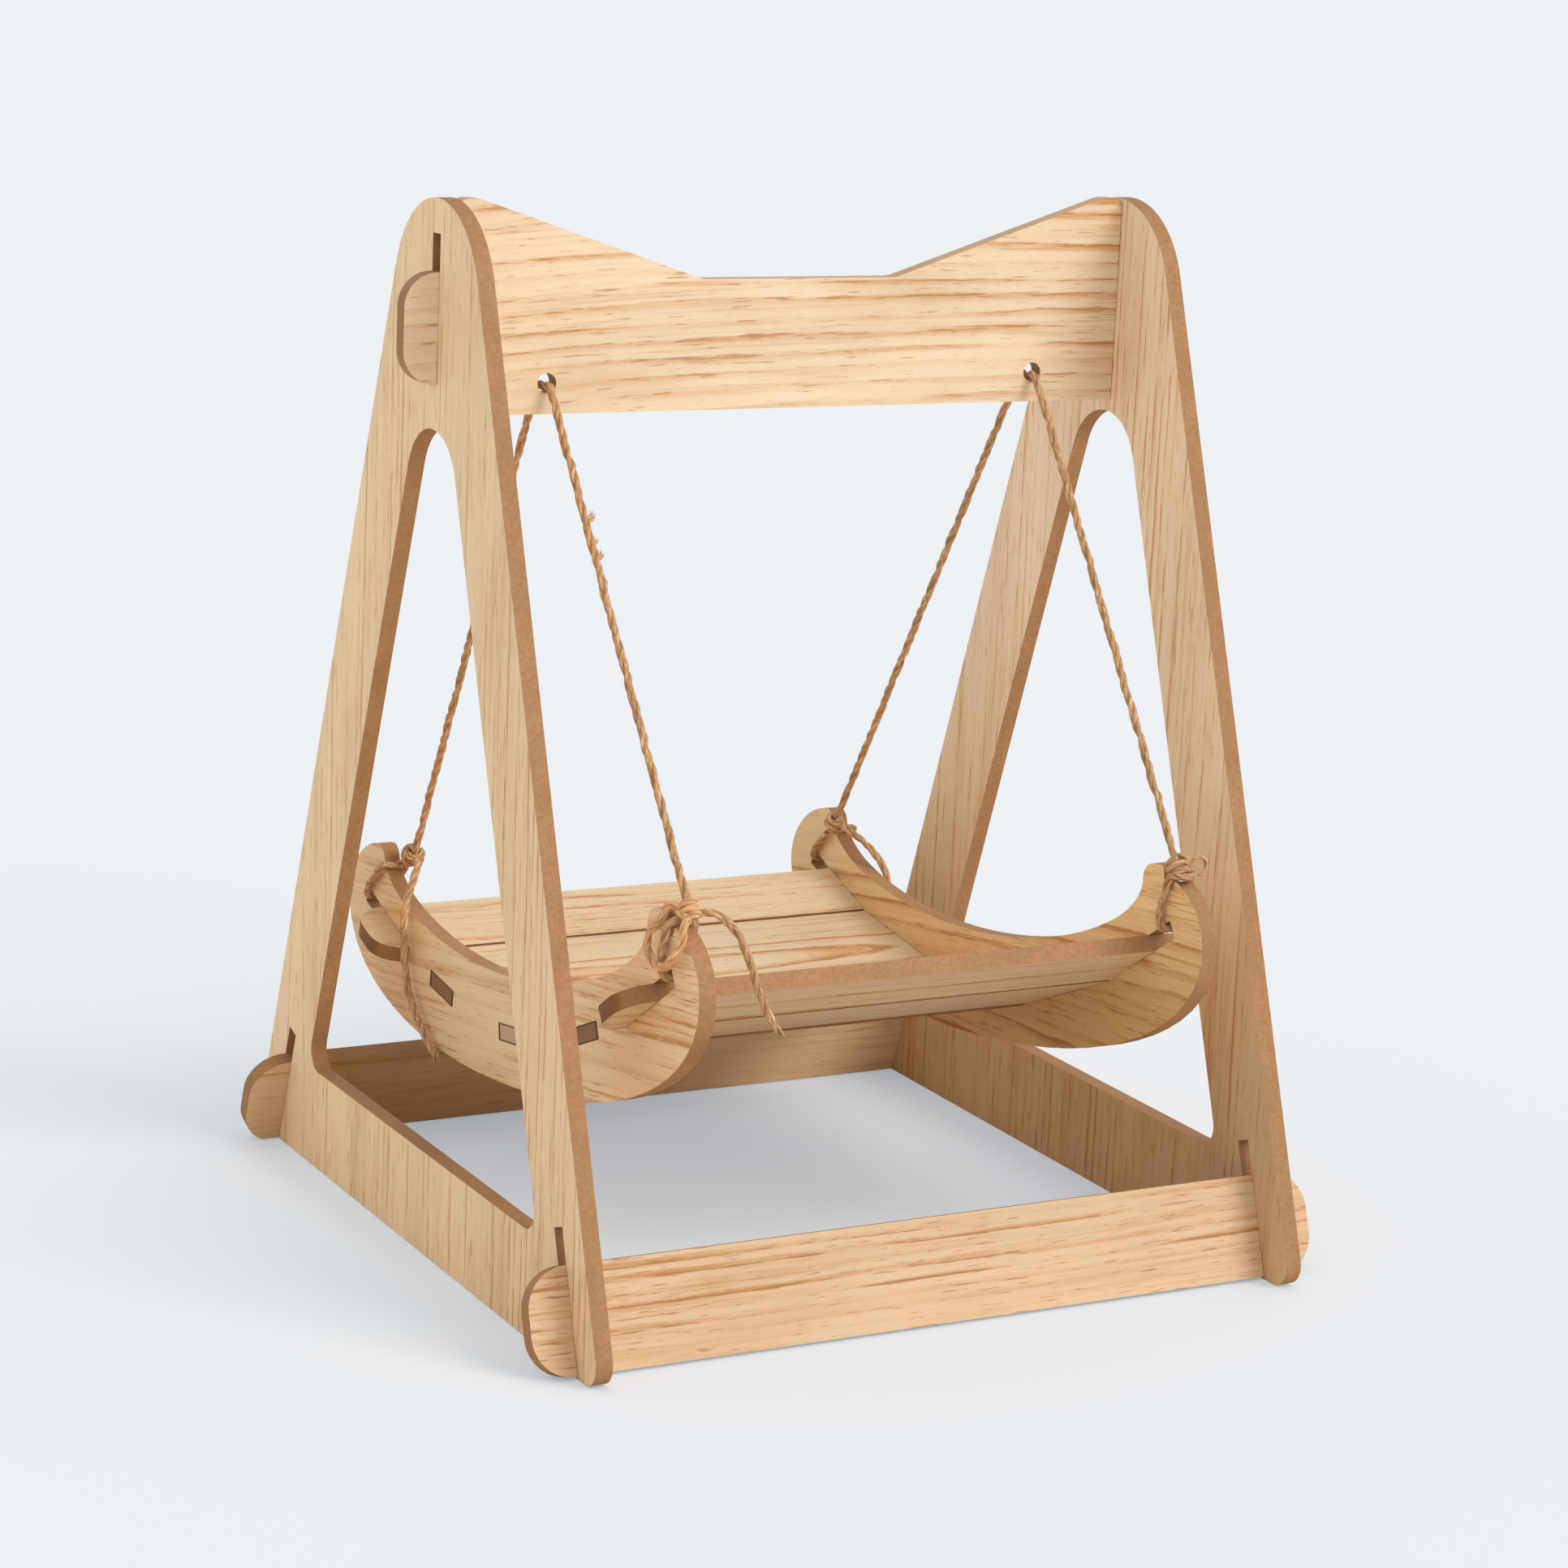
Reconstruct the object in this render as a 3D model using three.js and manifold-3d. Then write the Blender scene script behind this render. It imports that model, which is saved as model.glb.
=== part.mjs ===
// Swing bed for a cat. Five boards hook together into an A-frame, and seven boards make a slatted
// cradle that hangs from the frame's crossbeam on two jute ropes.
// Millimetres. X runs from side to side, Y from front to back and Z up.
import * as THREE from "three";
import { mergeVertices } from "three/addons/utils/BufferGeometryUtils.js";
import Module from "manifold-3d";

const wasm = await Module();
wasm.setup();

// Sizes that all boards share
const boardThickness = 10;
const fitGap = 0.3;
const cutOverrun = 5;

// Side panel
const frameHeight = 600;
const legLean = THREE.MathUtils.degToRad(19.26);
const legWidth = 58.5;
const panelTopRadius = 60;
const footCornerRadius = 13;
const panelInnerX = 213;
const baseBarHeight = 60.5;
const openingTopRadius = 35;
const openingCornerRadius = 12;

// Crossbeam
const beamHeight = 119.2;
const beamDipDepth = 45.2;
const beamDipHalfWidth = 62;
const beamShoulderLength = 12.4;
const beamCornerRadius = 6;
const beamBendRadius = 20;
const beamTabHeight = 61.5;
const beamTabRise = 17.7;
const beamTabReach = 20;
const beamTabRadius = 19;
const beamSlitDepth = 20.5;
const ropeHoleRadius = 5.75;
const ropeHoleRise = 17.2;

// Floor rail
const railHeight = 59;
const railTabReach = 24;
const railTabRadius = 23;
const railSlitDepth = 20;
const railFloorGap = 0.5;

// Cradle: place of the bottom slat's middle, and how far the cradle hangs front side up
const cradleY = 6.8;
const cradleZ = 118.7;
const cradleTilt = THREE.MathUtils.degToRad(7.8);

// Crescent end, measured from the bottom slat's middle
const crescentX = 157;
const crescentHalfSpan = 246;
const crescentWidestRise = 53;
const crescentBellyDrop = 30.4;
const flankReach = 25;
const flankHeight = 34;
const lipWidth = 3;
const notchRadius = 5;
const hornHeight = 8.5;
const hornWidth = 22.5;
const hornTipRadius = 3;
const hornHeadRadius = 11;
const backHornDrop = 2.5;
const neckReach = 25.5;
const neckDrop = 34;
const seatLowRise = 34;
const bellyReachShare = 0.61;
const bellyRiseShare = 0.425;
const flankShares = { firstRise: 0.48, secondReach: 0.56, secondRise: 0.79 };
const crownShares = { firstReach: 0.3, firstRise: 0.67, secondReach: 0.63 };
const hornNeckShares = { firstReach: 0.05, firstDrop: 0.37, secondReach: 0.51, secondDrop: 0.74 };
const seatShares = { firstReach: 0.75, firstRise: 0.36, secondReach: 0.375 };

// Slats
const bottomSlatShare = 0.34864;
const tenonWidth = 35;
const slatSpacing = 3.66;
const lowerSlatTilt = THREE.MathUtils.degToRad(15);
const lowerSlatShares = { reach: 0.5095, rise: 0.5216 };
const hookSlatWidth = 50;
const hookSlatInset = 96.85;
const hookSlatDrop = 25.2;
const hookSlatTilt = THREE.MathUtils.degToRad(25.7);
const hookTabStart = 3;
const hookSlitDepth = 23.5;
const hookTabReach = 19.5;
const hookTabRadius = 18.5;

// Ropes
const ropeRadius = 2.5;
const strandRadius = 1.3;
const ropeGap = 0.75;
const ropeMouthReach = 8.4;
const ropeMouthSink = 0.6;
const ropeMouthDrop = 4;
const ropeLipSink = 1.4;
const ropeMiddleSink = 2.5;
const ropeBendShare = 0.35;
const knotRadius = 7;
const knotHalfHeight = 6.5;
const knotRingSpacing = 4;
const knotMiddleRingRadius = 4.4;
const knotEndRingRadius = 2.6;
const frontKnotInset = 3.5;
const frontKnotReach = 6.5;
const frontKnotRise = 8.5;
const backKnotInset = 10;
const backKnotReach = 10.7;
const backKnotDrop = 9.6;
const lashingClearance = 0.6;
const lashingSlotPlace = 5.6;
const lashingNeckShare = 0.2;

// Counts of facets
const arcSteps = 14;
const longCurveSteps = 16;
const ropeSides = 8;
const fallSteps = 26;
const saddleSteps = 20;
const lashingSteps = 48;
const tailSteps = 28;
const bowSteps = 40;
const knotSides = 14;
const knotRings = 12;

// Places worked out from the sizes above
const halfThickness = boardThickness / 2;
const slotHalfWidth = halfThickness + fitGap;
const panelOuterX = panelInnerX + boardThickness;
const crescentInnerX = crescentX - halfThickness;
const crescentOuterX = crescentX + halfThickness;
const lipReach = crescentHalfSpan - flankReach;
const lipRise = crescentWidestRise + flankHeight;
const notchReach = lipReach - lipWidth - notchRadius;
const hornTopRise = lipRise + hornHeight;
const hornInnerReach = notchReach - notchRadius - hornWidth;
const seatBendReach = hornInnerReach - neckReach;
const seatBendRise = hornTopRise - neckDrop;
const hookSlatReach = crescentHalfSpan - hookSlatInset;
const hookSlatRise = crescentWidestRise - hookSlatDrop;
const bottomSlatWidth = 2 * hookSlatReach * bottomSlatShare;
const lowerSlatRoom = hookSlatReach - bottomSlatWidth / 2;
const lowerSlatReach = bottomSlatWidth / 2 + lowerSlatRoom * lowerSlatShares.reach;
const lowerSlatRise = hookSlatRise * lowerSlatShares.rise;
const lowerSlatWidth = (lowerSlatRoom - 2 * slatSpacing) / Math.cos(lowerSlatTilt);
const beamBottom = frameHeight - beamHeight;
const beamTabBottom = beamBottom + beamTabRise;
const beamSlotBottom = beamTabBottom + beamSlitDepth;
const ropeHoleZ = beamBottom + ropeHoleRise;
const topArcZ = frameHeight - panelTopRadius;
const hookSlotStart = hookTabStart + hookSlitDepth;
const hookTabLength = hookSlatWidth - hookTabStart;
const hookSlotEnd = hookSlotStart + hookTabLength + fitGap;

const veneer = new THREE.MeshStandardMaterial({ color: 0xdebe91, roughness: 0.6, metalness: 0 });
const cradleVeneer = new THREE.MeshStandardMaterial({ color: 0xd2ad7a, roughness: 0.6, metalness: 0 });
const jute = new THREE.MeshStandardMaterial({ color: 0xb98d5c, roughness: 0.95, metalness: 0 });

function mesh(name, geometry, material) {
  const piece = new THREE.Mesh(geometry, material);
  piece.name = name;
  return piece;
}

// Flat boards: outlines and their extrusion

// Closed outline through corners given as [x, y, radius]; a corner with no radius stays sharp
function roundedOutline(corners, Outline = THREE.Shape) {
  const outline = new Outline();
  const count = corners.length;
  corners.forEach(([x, y, radius = 0], index) => {
    const corner = new THREE.Vector2(x, y);
    const [previousX, previousY] = corners[(index + count - 1) % count];
    const [nextX, nextY] = corners[(index + 1) % count];
    const back = new THREE.Vector2(previousX, previousY).sub(corner).normalize();
    const ahead = new THREE.Vector2(nextX, nextY).sub(corner).normalize();
    const halfAngle = Math.acos(THREE.MathUtils.clamp(back.dot(ahead), -1, 1)) / 2;
    const start = corner.clone().addScaledVector(back, radius / Math.tan(halfAngle));
    if (index === 0) outline.moveTo(start.x, start.y);
    else outline.lineTo(start.x, start.y);
    if (radius === 0) return;
    const end = corner.clone().addScaledVector(ahead, radius / Math.tan(halfAngle));
    const inward = back.clone().add(ahead).normalize();
    const centre = corner.clone().addScaledVector(inward, radius / Math.sin(halfAngle));
    const startAngle = start.clone().sub(centre).angle();
    const endAngle = end.clone().sub(centre).angle();
    const clockwise = back.cross(ahead) > 0;
    outline.absarc(centre.x, centre.y, radius, startAngle, endAngle, clockwise);
  });
  outline.closePath();
  return outline;
}

// Corners of the right half, from bottom to top, followed by their mirror image
function mirrored(rightCorners) {
  const leftCorners = rightCorners.map(([x, y, radius]) => [-x, y, radius]).reverse();
  return [...rightCorners, ...leftCorners];
}

function slotOutline(centreX, centreY, angle, length, halfWidth) {
  const along = new THREE.Vector2(length / 2, 0).rotateAround(new THREE.Vector2(), angle);
  const across = new THREE.Vector2(0, halfWidth).rotateAround(new THREE.Vector2(), angle);
  const signs = [[-1, -1], [1, -1], [1, 1], [-1, 1]];
  return roundedOutline(signs.map(([alongSign, acrossSign]) => [
    centreX + alongSign * along.x + acrossSign * across.x,
    centreY + alongSign * along.y + acrossSign * across.y,
  ]), THREE.Path);
}

function boardGeometry(outline, holes = []) {
  outline.holes.push(...holes);
  const options = { depth: boardThickness, bevelEnabled: false, curveSegments: arcSteps };
  return new THREE.ExtrudeGeometry(outline, options).translate(0, 0, -halfThickness);
}

// Right end of a board that hooks over a plate: shoulder, neck, slit and rounded tab
function hookCorners({ shoulderX, plateX, reach, neckY, tabBottomY, tabTopY, radius }) {
  const slitX = plateX + fitGap;
  return [
    [shoulderX, neckY],
    [slitX, neckY],
    [slitX, tabBottomY],
    [slitX + reach, tabBottomY, radius],
    [slitX + reach, tabTopY, radius],
  ];
}

function toSolid(geometry) {
  const bare = geometry.clone();
  bare.deleteAttribute("normal");
  bare.deleteAttribute("uv");
  const merged = mergeVertices(bare);
  const vertProperties = new Float32Array(merged.attributes.position.array);
  const triVerts = new Uint32Array(merged.index.array);
  return new wasm.Manifold(new wasm.Mesh({ numProp: 3, vertProperties, triVerts }));
}

function toGeometry(solid) {
  const { vertProperties, triVerts } = solid.getMesh();
  const geometry = new THREE.BufferGeometry();
  geometry.setAttribute("position", new THREE.BufferAttribute(vertProperties, 3));
  geometry.setIndex(new THREE.BufferAttribute(triVerts, 1));
  return geometry;
}

// Side panels

// Height at which a line parallel to the leg, that far inside its outer edge, meets the middle plane
function legLineApexZ(inset) {
  return topArcZ + (panelTopRadius - inset) / Math.sin(legLean);
}

// Distance from the middle plane of the same line at a height
function legLineY(inset, z) {
  return (legLineApexZ(inset) - z) * Math.tan(legLean);
}

const railFootY = legLineY(legWidth / 2, 0);

function sidePanel(name, side) {
  const footY = legLineY(0, 0);
  const openingY = legLineY(legWidth, baseBarHeight);
  const outline = roundedOutline([
    [-footY, 0, footCornerRadius],
    [footY, 0, footCornerRadius],
    [0, legLineApexZ(0), panelTopRadius],
  ]);
  const opening = roundedOutline([
    [-openingY, baseBarHeight, openingCornerRadius],
    [openingY, baseBarHeight, openingCornerRadius],
    [0, legLineApexZ(legWidth), openingTopRadius],
  ], THREE.Path);
  const beamSlotLength = beamTabHeight + fitGap;
  const beamSlotMiddle = beamSlotBottom + beamSlotLength / 2;
  const beamSlot = slotOutline(0, beamSlotMiddle, Math.PI / 2, beamSlotLength, slotHalfWidth);
  const railSlotLength = railHeight + fitGap;
  const railSlotMiddle = railSlitDepth + railSlotLength / 2;
  const railSlots = [-1, 1].map((end) => {
    const y = end * (railFootY - railSlotMiddle * Math.sin(legLean));
    const z = railSlotMiddle * Math.cos(legLean);
    return slotOutline(y, z, Math.PI / 2 + end * legLean, railSlotLength, slotHalfWidth);
  });
  const panel = mesh(name, boardGeometry(outline, [opening, beamSlot, ...railSlots]), veneer);
  panel.rotation.set(Math.PI / 2, Math.PI / 2, 0);
  panel.position.x = side * (panelInnerX + halfThickness);
  return panel;
}

// Crossbeam

function crossbeam() {
  const shoulderX = panelInnerX - fitGap;
  const tabTop = beamTabBottom + beamTabHeight;
  const dipZ = frameHeight - beamDipDepth;
  const outline = roundedOutline(mirrored([
    [shoulderX, beamBottom],
    ...hookCorners({
      shoulderX,
      plateX: panelOuterX,
      reach: beamTabReach,
      neckY: beamSlotBottom + fitGap,
      tabBottomY: beamTabBottom,
      tabTopY: tabTop,
      radius: beamTabRadius,
    }),
    [shoulderX, tabTop],
    [shoulderX, frameHeight, beamCornerRadius],
    [shoulderX - beamShoulderLength, frameHeight, beamBendRadius],
    [beamDipHalfWidth, dipZ, beamBendRadius],
  ]));
  const holes = [-1, 1].map((side) => {
    const hole = new THREE.Path();
    return hole.absarc(side * crescentX, ropeHoleZ, ropeHoleRadius, 0, Math.PI * 2);
  });
  const beam = mesh("top_crossbeam", boardGeometry(outline, holes), veneer);
  beam.rotation.x = Math.PI / 2;
  return beam;
}

// Floor rails lean with the legs, and their lower edge is cut level with the floor

function floorRail(name) {
  const shoulderX = panelInnerX - fitGap;
  const outline = roundedOutline(mirrored([
    [shoulderX, 0],
    ...hookCorners({
      shoulderX,
      plateX: panelOuterX,
      reach: railTabReach,
      neckY: railSlitDepth + fitGap,
      tabBottomY: 0,
      tabTopY: railHeight,
      radius: railTabRadius,
    }),
  ]));
  const leaning = boardGeometry(outline).rotateX(Math.PI / 2 - legLean);
  const cutterX = 2 * (panelOuterX + railTabReach + cutOverrun);
  const cutterY = 2 * boardThickness + cutOverrun;
  const cutter = new THREE.BoxGeometry(cutterX, cutterY, boardThickness);
  cutter.translate(0, 0, railFloorGap - halfThickness);
  const rail = mesh(name, toGeometry(toSolid(leaning).subtract(toSolid(cutter))), veneer);
  rail.position.y = -railFootY;
  return rail;
}

function frame() {
  const group = new THREE.Group();
  const backRail = new THREE.Group();
  backRail.rotation.z = Math.PI;
  backRail.add(floorRail("back_rail"));
  group.add(sidePanel("left_side_panel", -1), sidePanel("right_side_panel", 1));
  group.add(crossbeam(), floorRail("front_rail"), backRail);
  return group;
}

// Crescent ends of the cradle

function between(start, end, share) {
  return start + (end - start) * share;
}

// Inner edge of the horn, from its head down to the bend of the seat
function hornNeckCurve() {
  const head = new THREE.Vector2(hornInnerReach, hornTopRise - hornHeadRadius);
  const bend = new THREE.Vector2(seatBendReach, seatBendRise);
  const place = (reachShare, dropShare) => new THREE.Vector2(
    between(head.x, bend.x, reachShare),
    between(head.y, bend.y, dropShare),
  );
  const { firstReach, firstDrop, secondReach, secondDrop } = hornNeckShares;
  const handles = [place(firstReach, firstDrop), place(secondReach, secondDrop)];
  return new THREE.CubicBezierCurve(head, ...handles, bend);
}

// Half outline from the belly round the flank and horn to the lowest point of the seat.
// The front horn has a notch behind its lip, and the back one a plain crown.
function crescentHalf(notched) {
  const point = (reach, rise) => new THREE.Vector2(reach, rise);
  const curve = (...points) => new THREE.CubicBezierCurve(...points).getPoints(longCurveSteps);
  const arc = (reach, rise, radius, start, end, clockwise) => {
    return new THREE.EllipseCurve(reach, rise, radius, radius, start, end, clockwise).getPoints(arcSteps);
  };
  const widest = point(crescentHalfSpan, crescentWidestRise);
  const lip = point(lipReach, lipRise);
  const hornSide = notchReach - notchRadius;
  const seatBend = point(seatBendReach, seatBendRise);
  const seatLow = point(0, seatLowRise);
  const belly = curve(
    point(0, -crescentBellyDrop),
    point(crescentHalfSpan * bellyReachShare, -crescentBellyDrop),
    point(crescentHalfSpan, between(-crescentBellyDrop, crescentWidestRise, bellyRiseShare)),
    widest,
  );
  const flankBend = point(
    between(lip.x, widest.x, flankShares.secondReach),
    between(widest.y, lip.y, flankShares.secondRise),
  );
  const flank = curve(
    widest,
    point(crescentHalfSpan, between(widest.y, lip.y, flankShares.firstRise)),
    flankBend,
    lip,
  );
  const notch = arc(notchReach, lipRise, notchRadius, 0, Math.PI, true);
  const tip = arc(hornSide - hornTipRadius, hornTopRise - hornTipRadius, hornTipRadius, 0, Math.PI / 2);
  const headRadius = notched ? hornHeadRadius : hornHeadRadius - backHornDrop;
  const headX = hornInnerReach + headRadius;
  const head = arc(headX, hornTopRise - hornHeadRadius, headRadius, Math.PI / 2, Math.PI);
  const crownRise = hornTopRise - backHornDrop;
  const crownPoint = (reachShare, riseShare) => point(
    between(lipReach, headX, reachShare),
    between(lipRise, crownRise, riseShare),
  );
  const crown = curve(
    lip,
    crownPoint(crownShares.firstReach, crownShares.firstRise),
    crownPoint(crownShares.secondReach, 1),
    point(headX, crownRise),
  );
  const neck = hornNeckCurve().getPoints(longCurveSteps);
  const seat = curve(
    seatBend,
    point(seatBendReach * seatShares.firstReach, between(seatLowRise, seatBendRise, seatShares.firstRise)),
    point(seatBendReach * seatShares.secondReach, seatLowRise),
    seatLow,
  );
  const top = notched ? [notch, tip] : [crown];
  return [belly, flank, ...top, head, neck, seat].flatMap((stretch, index) => {
    return index === 0 || stretch === notch || stretch === tip ? stretch : stretch.slice(1);
  });
}

function crescentSlots() {
  const slots = [slotOutline(0, 0, 0, tenonWidth + 2 * fitGap, slotHalfWidth)];
  for (const end of [-1, 1]) {
    const tenonSlot = tenonWidth + 2 * fitGap;
    const tilt = end * lowerSlatTilt;
    slots.push(slotOutline(end * lowerSlatReach, lowerSlatRise, tilt, tenonSlot, slotHalfWidth));
    const middle = (hookSlotStart + hookSlotEnd) / 2;
    const reach = hookSlatReach + middle * Math.cos(hookSlatTilt);
    const rise = hookSlatRise + middle * Math.sin(hookSlatTilt);
    const length = hookSlotEnd - hookSlotStart;
    slots.push(slotOutline(end * reach, rise, end * hookSlatTilt, length, slotHalfWidth));
  }
  return slots;
}

function crescent(name, side) {
  const back = crescentHalf(false);
  const front = crescentHalf(true).slice(1, -1).map(({ x, y }) => new THREE.Vector2(-x, y)).reverse();
  const outline = new THREE.Shape([...back, ...front]);
  const end = mesh(name, boardGeometry(outline, crescentSlots()), cradleVeneer);
  end.rotation.set(Math.PI / 2, Math.PI / 2, 0);
  end.position.x = side * crescentX;
  return end;
}

// Slats of the cradle, laid across it and then turned to their slots

function tenonSlat(name, width, reach, rise, tilt) {
  const shoulderX = crescentInnerX - fitGap;
  const outline = roundedOutline(mirrored([
    [shoulderX, -width / 2],
    [shoulderX, -tenonWidth / 2],
    [crescentOuterX, -tenonWidth / 2],
    [crescentOuterX, tenonWidth / 2],
    [shoulderX, tenonWidth / 2],
    [shoulderX, width / 2],
  ]));
  const slat = mesh(name, boardGeometry(outline), cradleVeneer);
  slat.position.set(0, reach, rise);
  slat.rotation.x = tilt;
  return slat;
}

// The hook slat's own Y runs up its slope, from the lower edge at zero
function hookSlat(name) {
  const shoulderX = crescentInnerX - fitGap;
  const outline = roundedOutline(mirrored([
    [shoulderX, 0],
    ...hookCorners({
      shoulderX,
      plateX: crescentOuterX,
      reach: hookTabReach,
      neckY: hookSlotStart + fitGap,
      tabBottomY: hookTabStart,
      tabTopY: hookSlatWidth,
      radius: hookTabRadius,
    }),
  ]));
  const slat = mesh(name, boardGeometry(outline), cradleVeneer);
  slat.position.set(0, hookSlatReach, hookSlatRise);
  slat.rotation.x = hookSlatTilt;
  return slat;
}

function cradleBoards() {
  const group = new THREE.Group();
  group.add(crescent("left_crescent_end", -1), crescent("right_crescent_end", 1));
  group.add(tenonSlat("bottom_slat", bottomSlatWidth, 0, 0, 0));
  const back = new THREE.Group();
  back.add(tenonSlat("back_lower_slat", lowerSlatWidth, lowerSlatReach, lowerSlatRise, lowerSlatTilt));
  back.add(hookSlat("back_hook_slat"));
  const front = new THREE.Group();
  front.rotation.z = Math.PI;
  front.add(tenonSlat("front_lower_slat", lowerSlatWidth, lowerSlatReach, lowerSlatRise, lowerSlatTilt));
  front.add(hookSlat("front_hook_slat"));
  group.add(back, front);
  return group;
}

// Ropes

function circleOutline(radius, sides) {
  const points = Array.from({ length: sides }, (_, index) => {
    const angle = (index / sides) * Math.PI * 2;
    return new THREE.Vector2(Math.cos(angle), Math.sin(angle)).multiplyScalar(radius);
  });
  return new THREE.Shape(points);
}

function tube(name, points, steps, radius = ropeRadius) {
  const route = new THREE.CatmullRomCurve3(points, false, "centripetal");
  const options = { extrudePath: route, steps, bevelEnabled: false };
  return mesh(name, new THREE.ExtrudeGeometry(circleOutline(radius, ropeSides), options), jute);
}

// Knots, in the cradle's own axes. Side is -1 on the left and 1 on the right.
function frontKnotPlace(side) {
  const x = side * (crescentX - frontKnotInset);
  return new THREE.Vector3(x, -(notchReach + frontKnotReach), lipRise + frontKnotRise);
}

function backKnotPlace(side) {
  const x = side * (crescentX - backKnotInset);
  return new THREE.Vector3(x, hornInnerReach - backKnotReach, hornTopRise - backKnotDrop);
}

// Point on the line from a knot's middle to another point, where a rope end meets the knot
function atKnot(knot, toward, gap = fitGap) {
  const direction = toward.clone().sub(knot).normalize();
  return knot.clone().addScaledVector(direction, knotRadius + gap);
}

// Two end turns and one wider middle turn, pulled tight round the falling rope
function knot(name, place, fallDirection) {
  const rings = [
    { radius: knotEndRingRadius, height: -knotRingSpacing },
    { radius: knotMiddleRingRadius, height: 0 },
    { radius: knotEndRingRadius, height: knotRingSpacing },
  ];
  const ringReach = ({ radius, height }, y) => {
    return radius + Math.sqrt(Math.max(ropeRadius ** 2 - (y - height) ** 2, 0));
  };
  const profile = [new THREE.Vector2(0, -knotHalfHeight)];
  for (let index = 0; index <= knotRings; index += 1) {
    const y = between(-knotHalfHeight, knotHalfHeight, index / knotRings);
    const near = rings.filter(({ height }) => Math.abs(y - height) <= ropeRadius + fitGap);
    profile.push(new THREE.Vector2(Math.max(...near.map((ring) => ringReach(ring, y))), y));
  }
  profile.push(new THREE.Vector2(0, knotHalfHeight));
  const ball = mesh(name, new THREE.LatheGeometry(profile, knotSides), jute);
  ball.position.copy(place);
  ball.quaternion.setFromUnitVectors(new THREE.Vector3(0, 1, 0), fallDirection);
  return ball;
}

// Place of a point given along (from the lower edge) and across the hook slat's slope
function hookSlotPoint(end, x, along, across) {
  const reach = hookSlatReach + along * Math.cos(hookSlatTilt) - across * Math.sin(hookSlatTilt);
  const rise = hookSlatRise + along * Math.sin(hookSlatTilt) + across * Math.cos(hookSlatTilt);
  return new THREE.Vector3(x, end * reach, rise);
}

// Stretch of a lashing that turns in from one face, crosses the slot and turns out at the other
function slotCrossing(side, end) {
  const along = hookSlotEnd - lashingSlotPlace;
  const turn = ropeRadius + lashingClearance;
  const bend = turn * Math.SQRT1_2;
  const place = (x, across) => hookSlotPoint(end, side * x, along, across);
  return [
    place(crescentOuterX + turn, slotHalfWidth + turn),
    place(crescentOuterX + turn, slotHalfWidth),
    place(crescentOuterX + bend, slotHalfWidth - bend),
    place(crescentOuterX, slotHalfWidth - turn),
    place(crescentX, slotHalfWidth - turn),
    place(crescentInnerX, slotHalfWidth - turn),
    place(crescentInnerX - bend, slotHalfWidth - bend),
    place(crescentInnerX - turn, slotHalfWidth),
    place(crescentInnerX - turn, slotHalfWidth + turn),
  ];
}

const outerStrandX = crescentOuterX + ropeRadius + lashingClearance;
const innerStrandX = crescentInnerX - ropeRadius - lashingClearance;

// From the knot over the lip, down the outer face, through the slot and up the inner face
function frontLashing(name, side) {
  const place = (x, reach, rise) => new THREE.Vector3(side * x, -reach, rise);
  const knotMiddle = frontKnotPlace(side);
  const lipTop = lipRise + ropeRadius + lashingClearance;
  const down = [
    place(crescentOuterX - ropeRadius / 2, notchReach + notchRadius, lipTop + ropeRadius / 2),
    place(crescentOuterX + ropeRadius, lipReach - notchRadius, lipTop - ropeRadius / 2),
    place(outerStrandX, notchReach, lipRise - notchRadius),
  ];
  const up = [
    place(innerStrandX, notchReach, lipRise - notchRadius),
    place(innerStrandX, lipReach - notchRadius, lipRise),
  ];
  const route = [...down, ...slotCrossing(side, -1), ...up];
  const ends = [atKnot(knotMiddle, down[0]), atKnot(knotMiddle, up[1])];
  return tube(name, [ends[0], ...route, ends[1]], lashingSteps);
}

// From the knot over the inner edge of the horn's neck, then as at the front
function backLashing(name, side) {
  const neck = hornNeckCurve();
  const edge = neck.getPoint(lashingNeckShare);
  const slope = neck.getTangent(lashingNeckShare);
  const turn = ropeRadius + lashingClearance;
  const bend = turn * Math.SQRT1_2;
  const place = (x, offset) => {
    return new THREE.Vector3(side * x, edge.x + slope.y * offset, edge.y - slope.x * offset);
  };
  const knotMiddle = backKnotPlace(side);
  const down = [
    place(crescentX - ropeRadius, turn),
    place(crescentX, turn),
    place(crescentOuterX, turn),
    place(crescentOuterX + bend, bend),
    place(outerStrandX, 0),
  ];
  const route = [...down, ...slotCrossing(side, 1)];
  const ends = [atKnot(knotMiddle, down[0]), atKnot(knotMiddle, route.at(-1))];
  return tube(name, [ends[0], ...route, ends[1]], lashingSteps);
}

// Loose ends and loops: routes from the middle of their knot, along the cradle's own axes
const backTailRoute = [
  [-3, -13.3, -4],
  [-10, -21.8, -11.6],
  [-16, -27.8, -21.4],
  [-20.5, -31.3, -33.6],
  [-21.5, -32.6, -47.3],
  [-21.5, -31.6, -60.3],
  [-21, -34.4, -74.9],
  [-20.5, -44.8, -89.6],
  [-20, -57.8, -102.7],
  [-20, -76.9, -113.9],
];
const frontTailRoute = [
  [9.5, -4, -1.2],
  [15.5, -4.5, -3.5],
  [25.1, -5, -13],
  [32.6, -5, -29.1],
  [37.1, -4.5, -43.7],
  [43.6, -3.5, -58.5],
  [51.7, -2.5, -72.1],
];
const frontBowRoute = [
  [-9, 4, 3.5],
  [-12.5, 8.3, -4],
  [-15.5, 16.5, -12],
  [-17, 17.5, -19],
  [-17, 13.1, -25.5],
  [-17.3, 2.5, -28.8],
  [-16, -7.5, -25.5],
  [-13.5, -13.3, -17.9],
  [-12.7, -17.2, -10.5],
  [-11, -16.5, -4.5],
];
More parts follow.
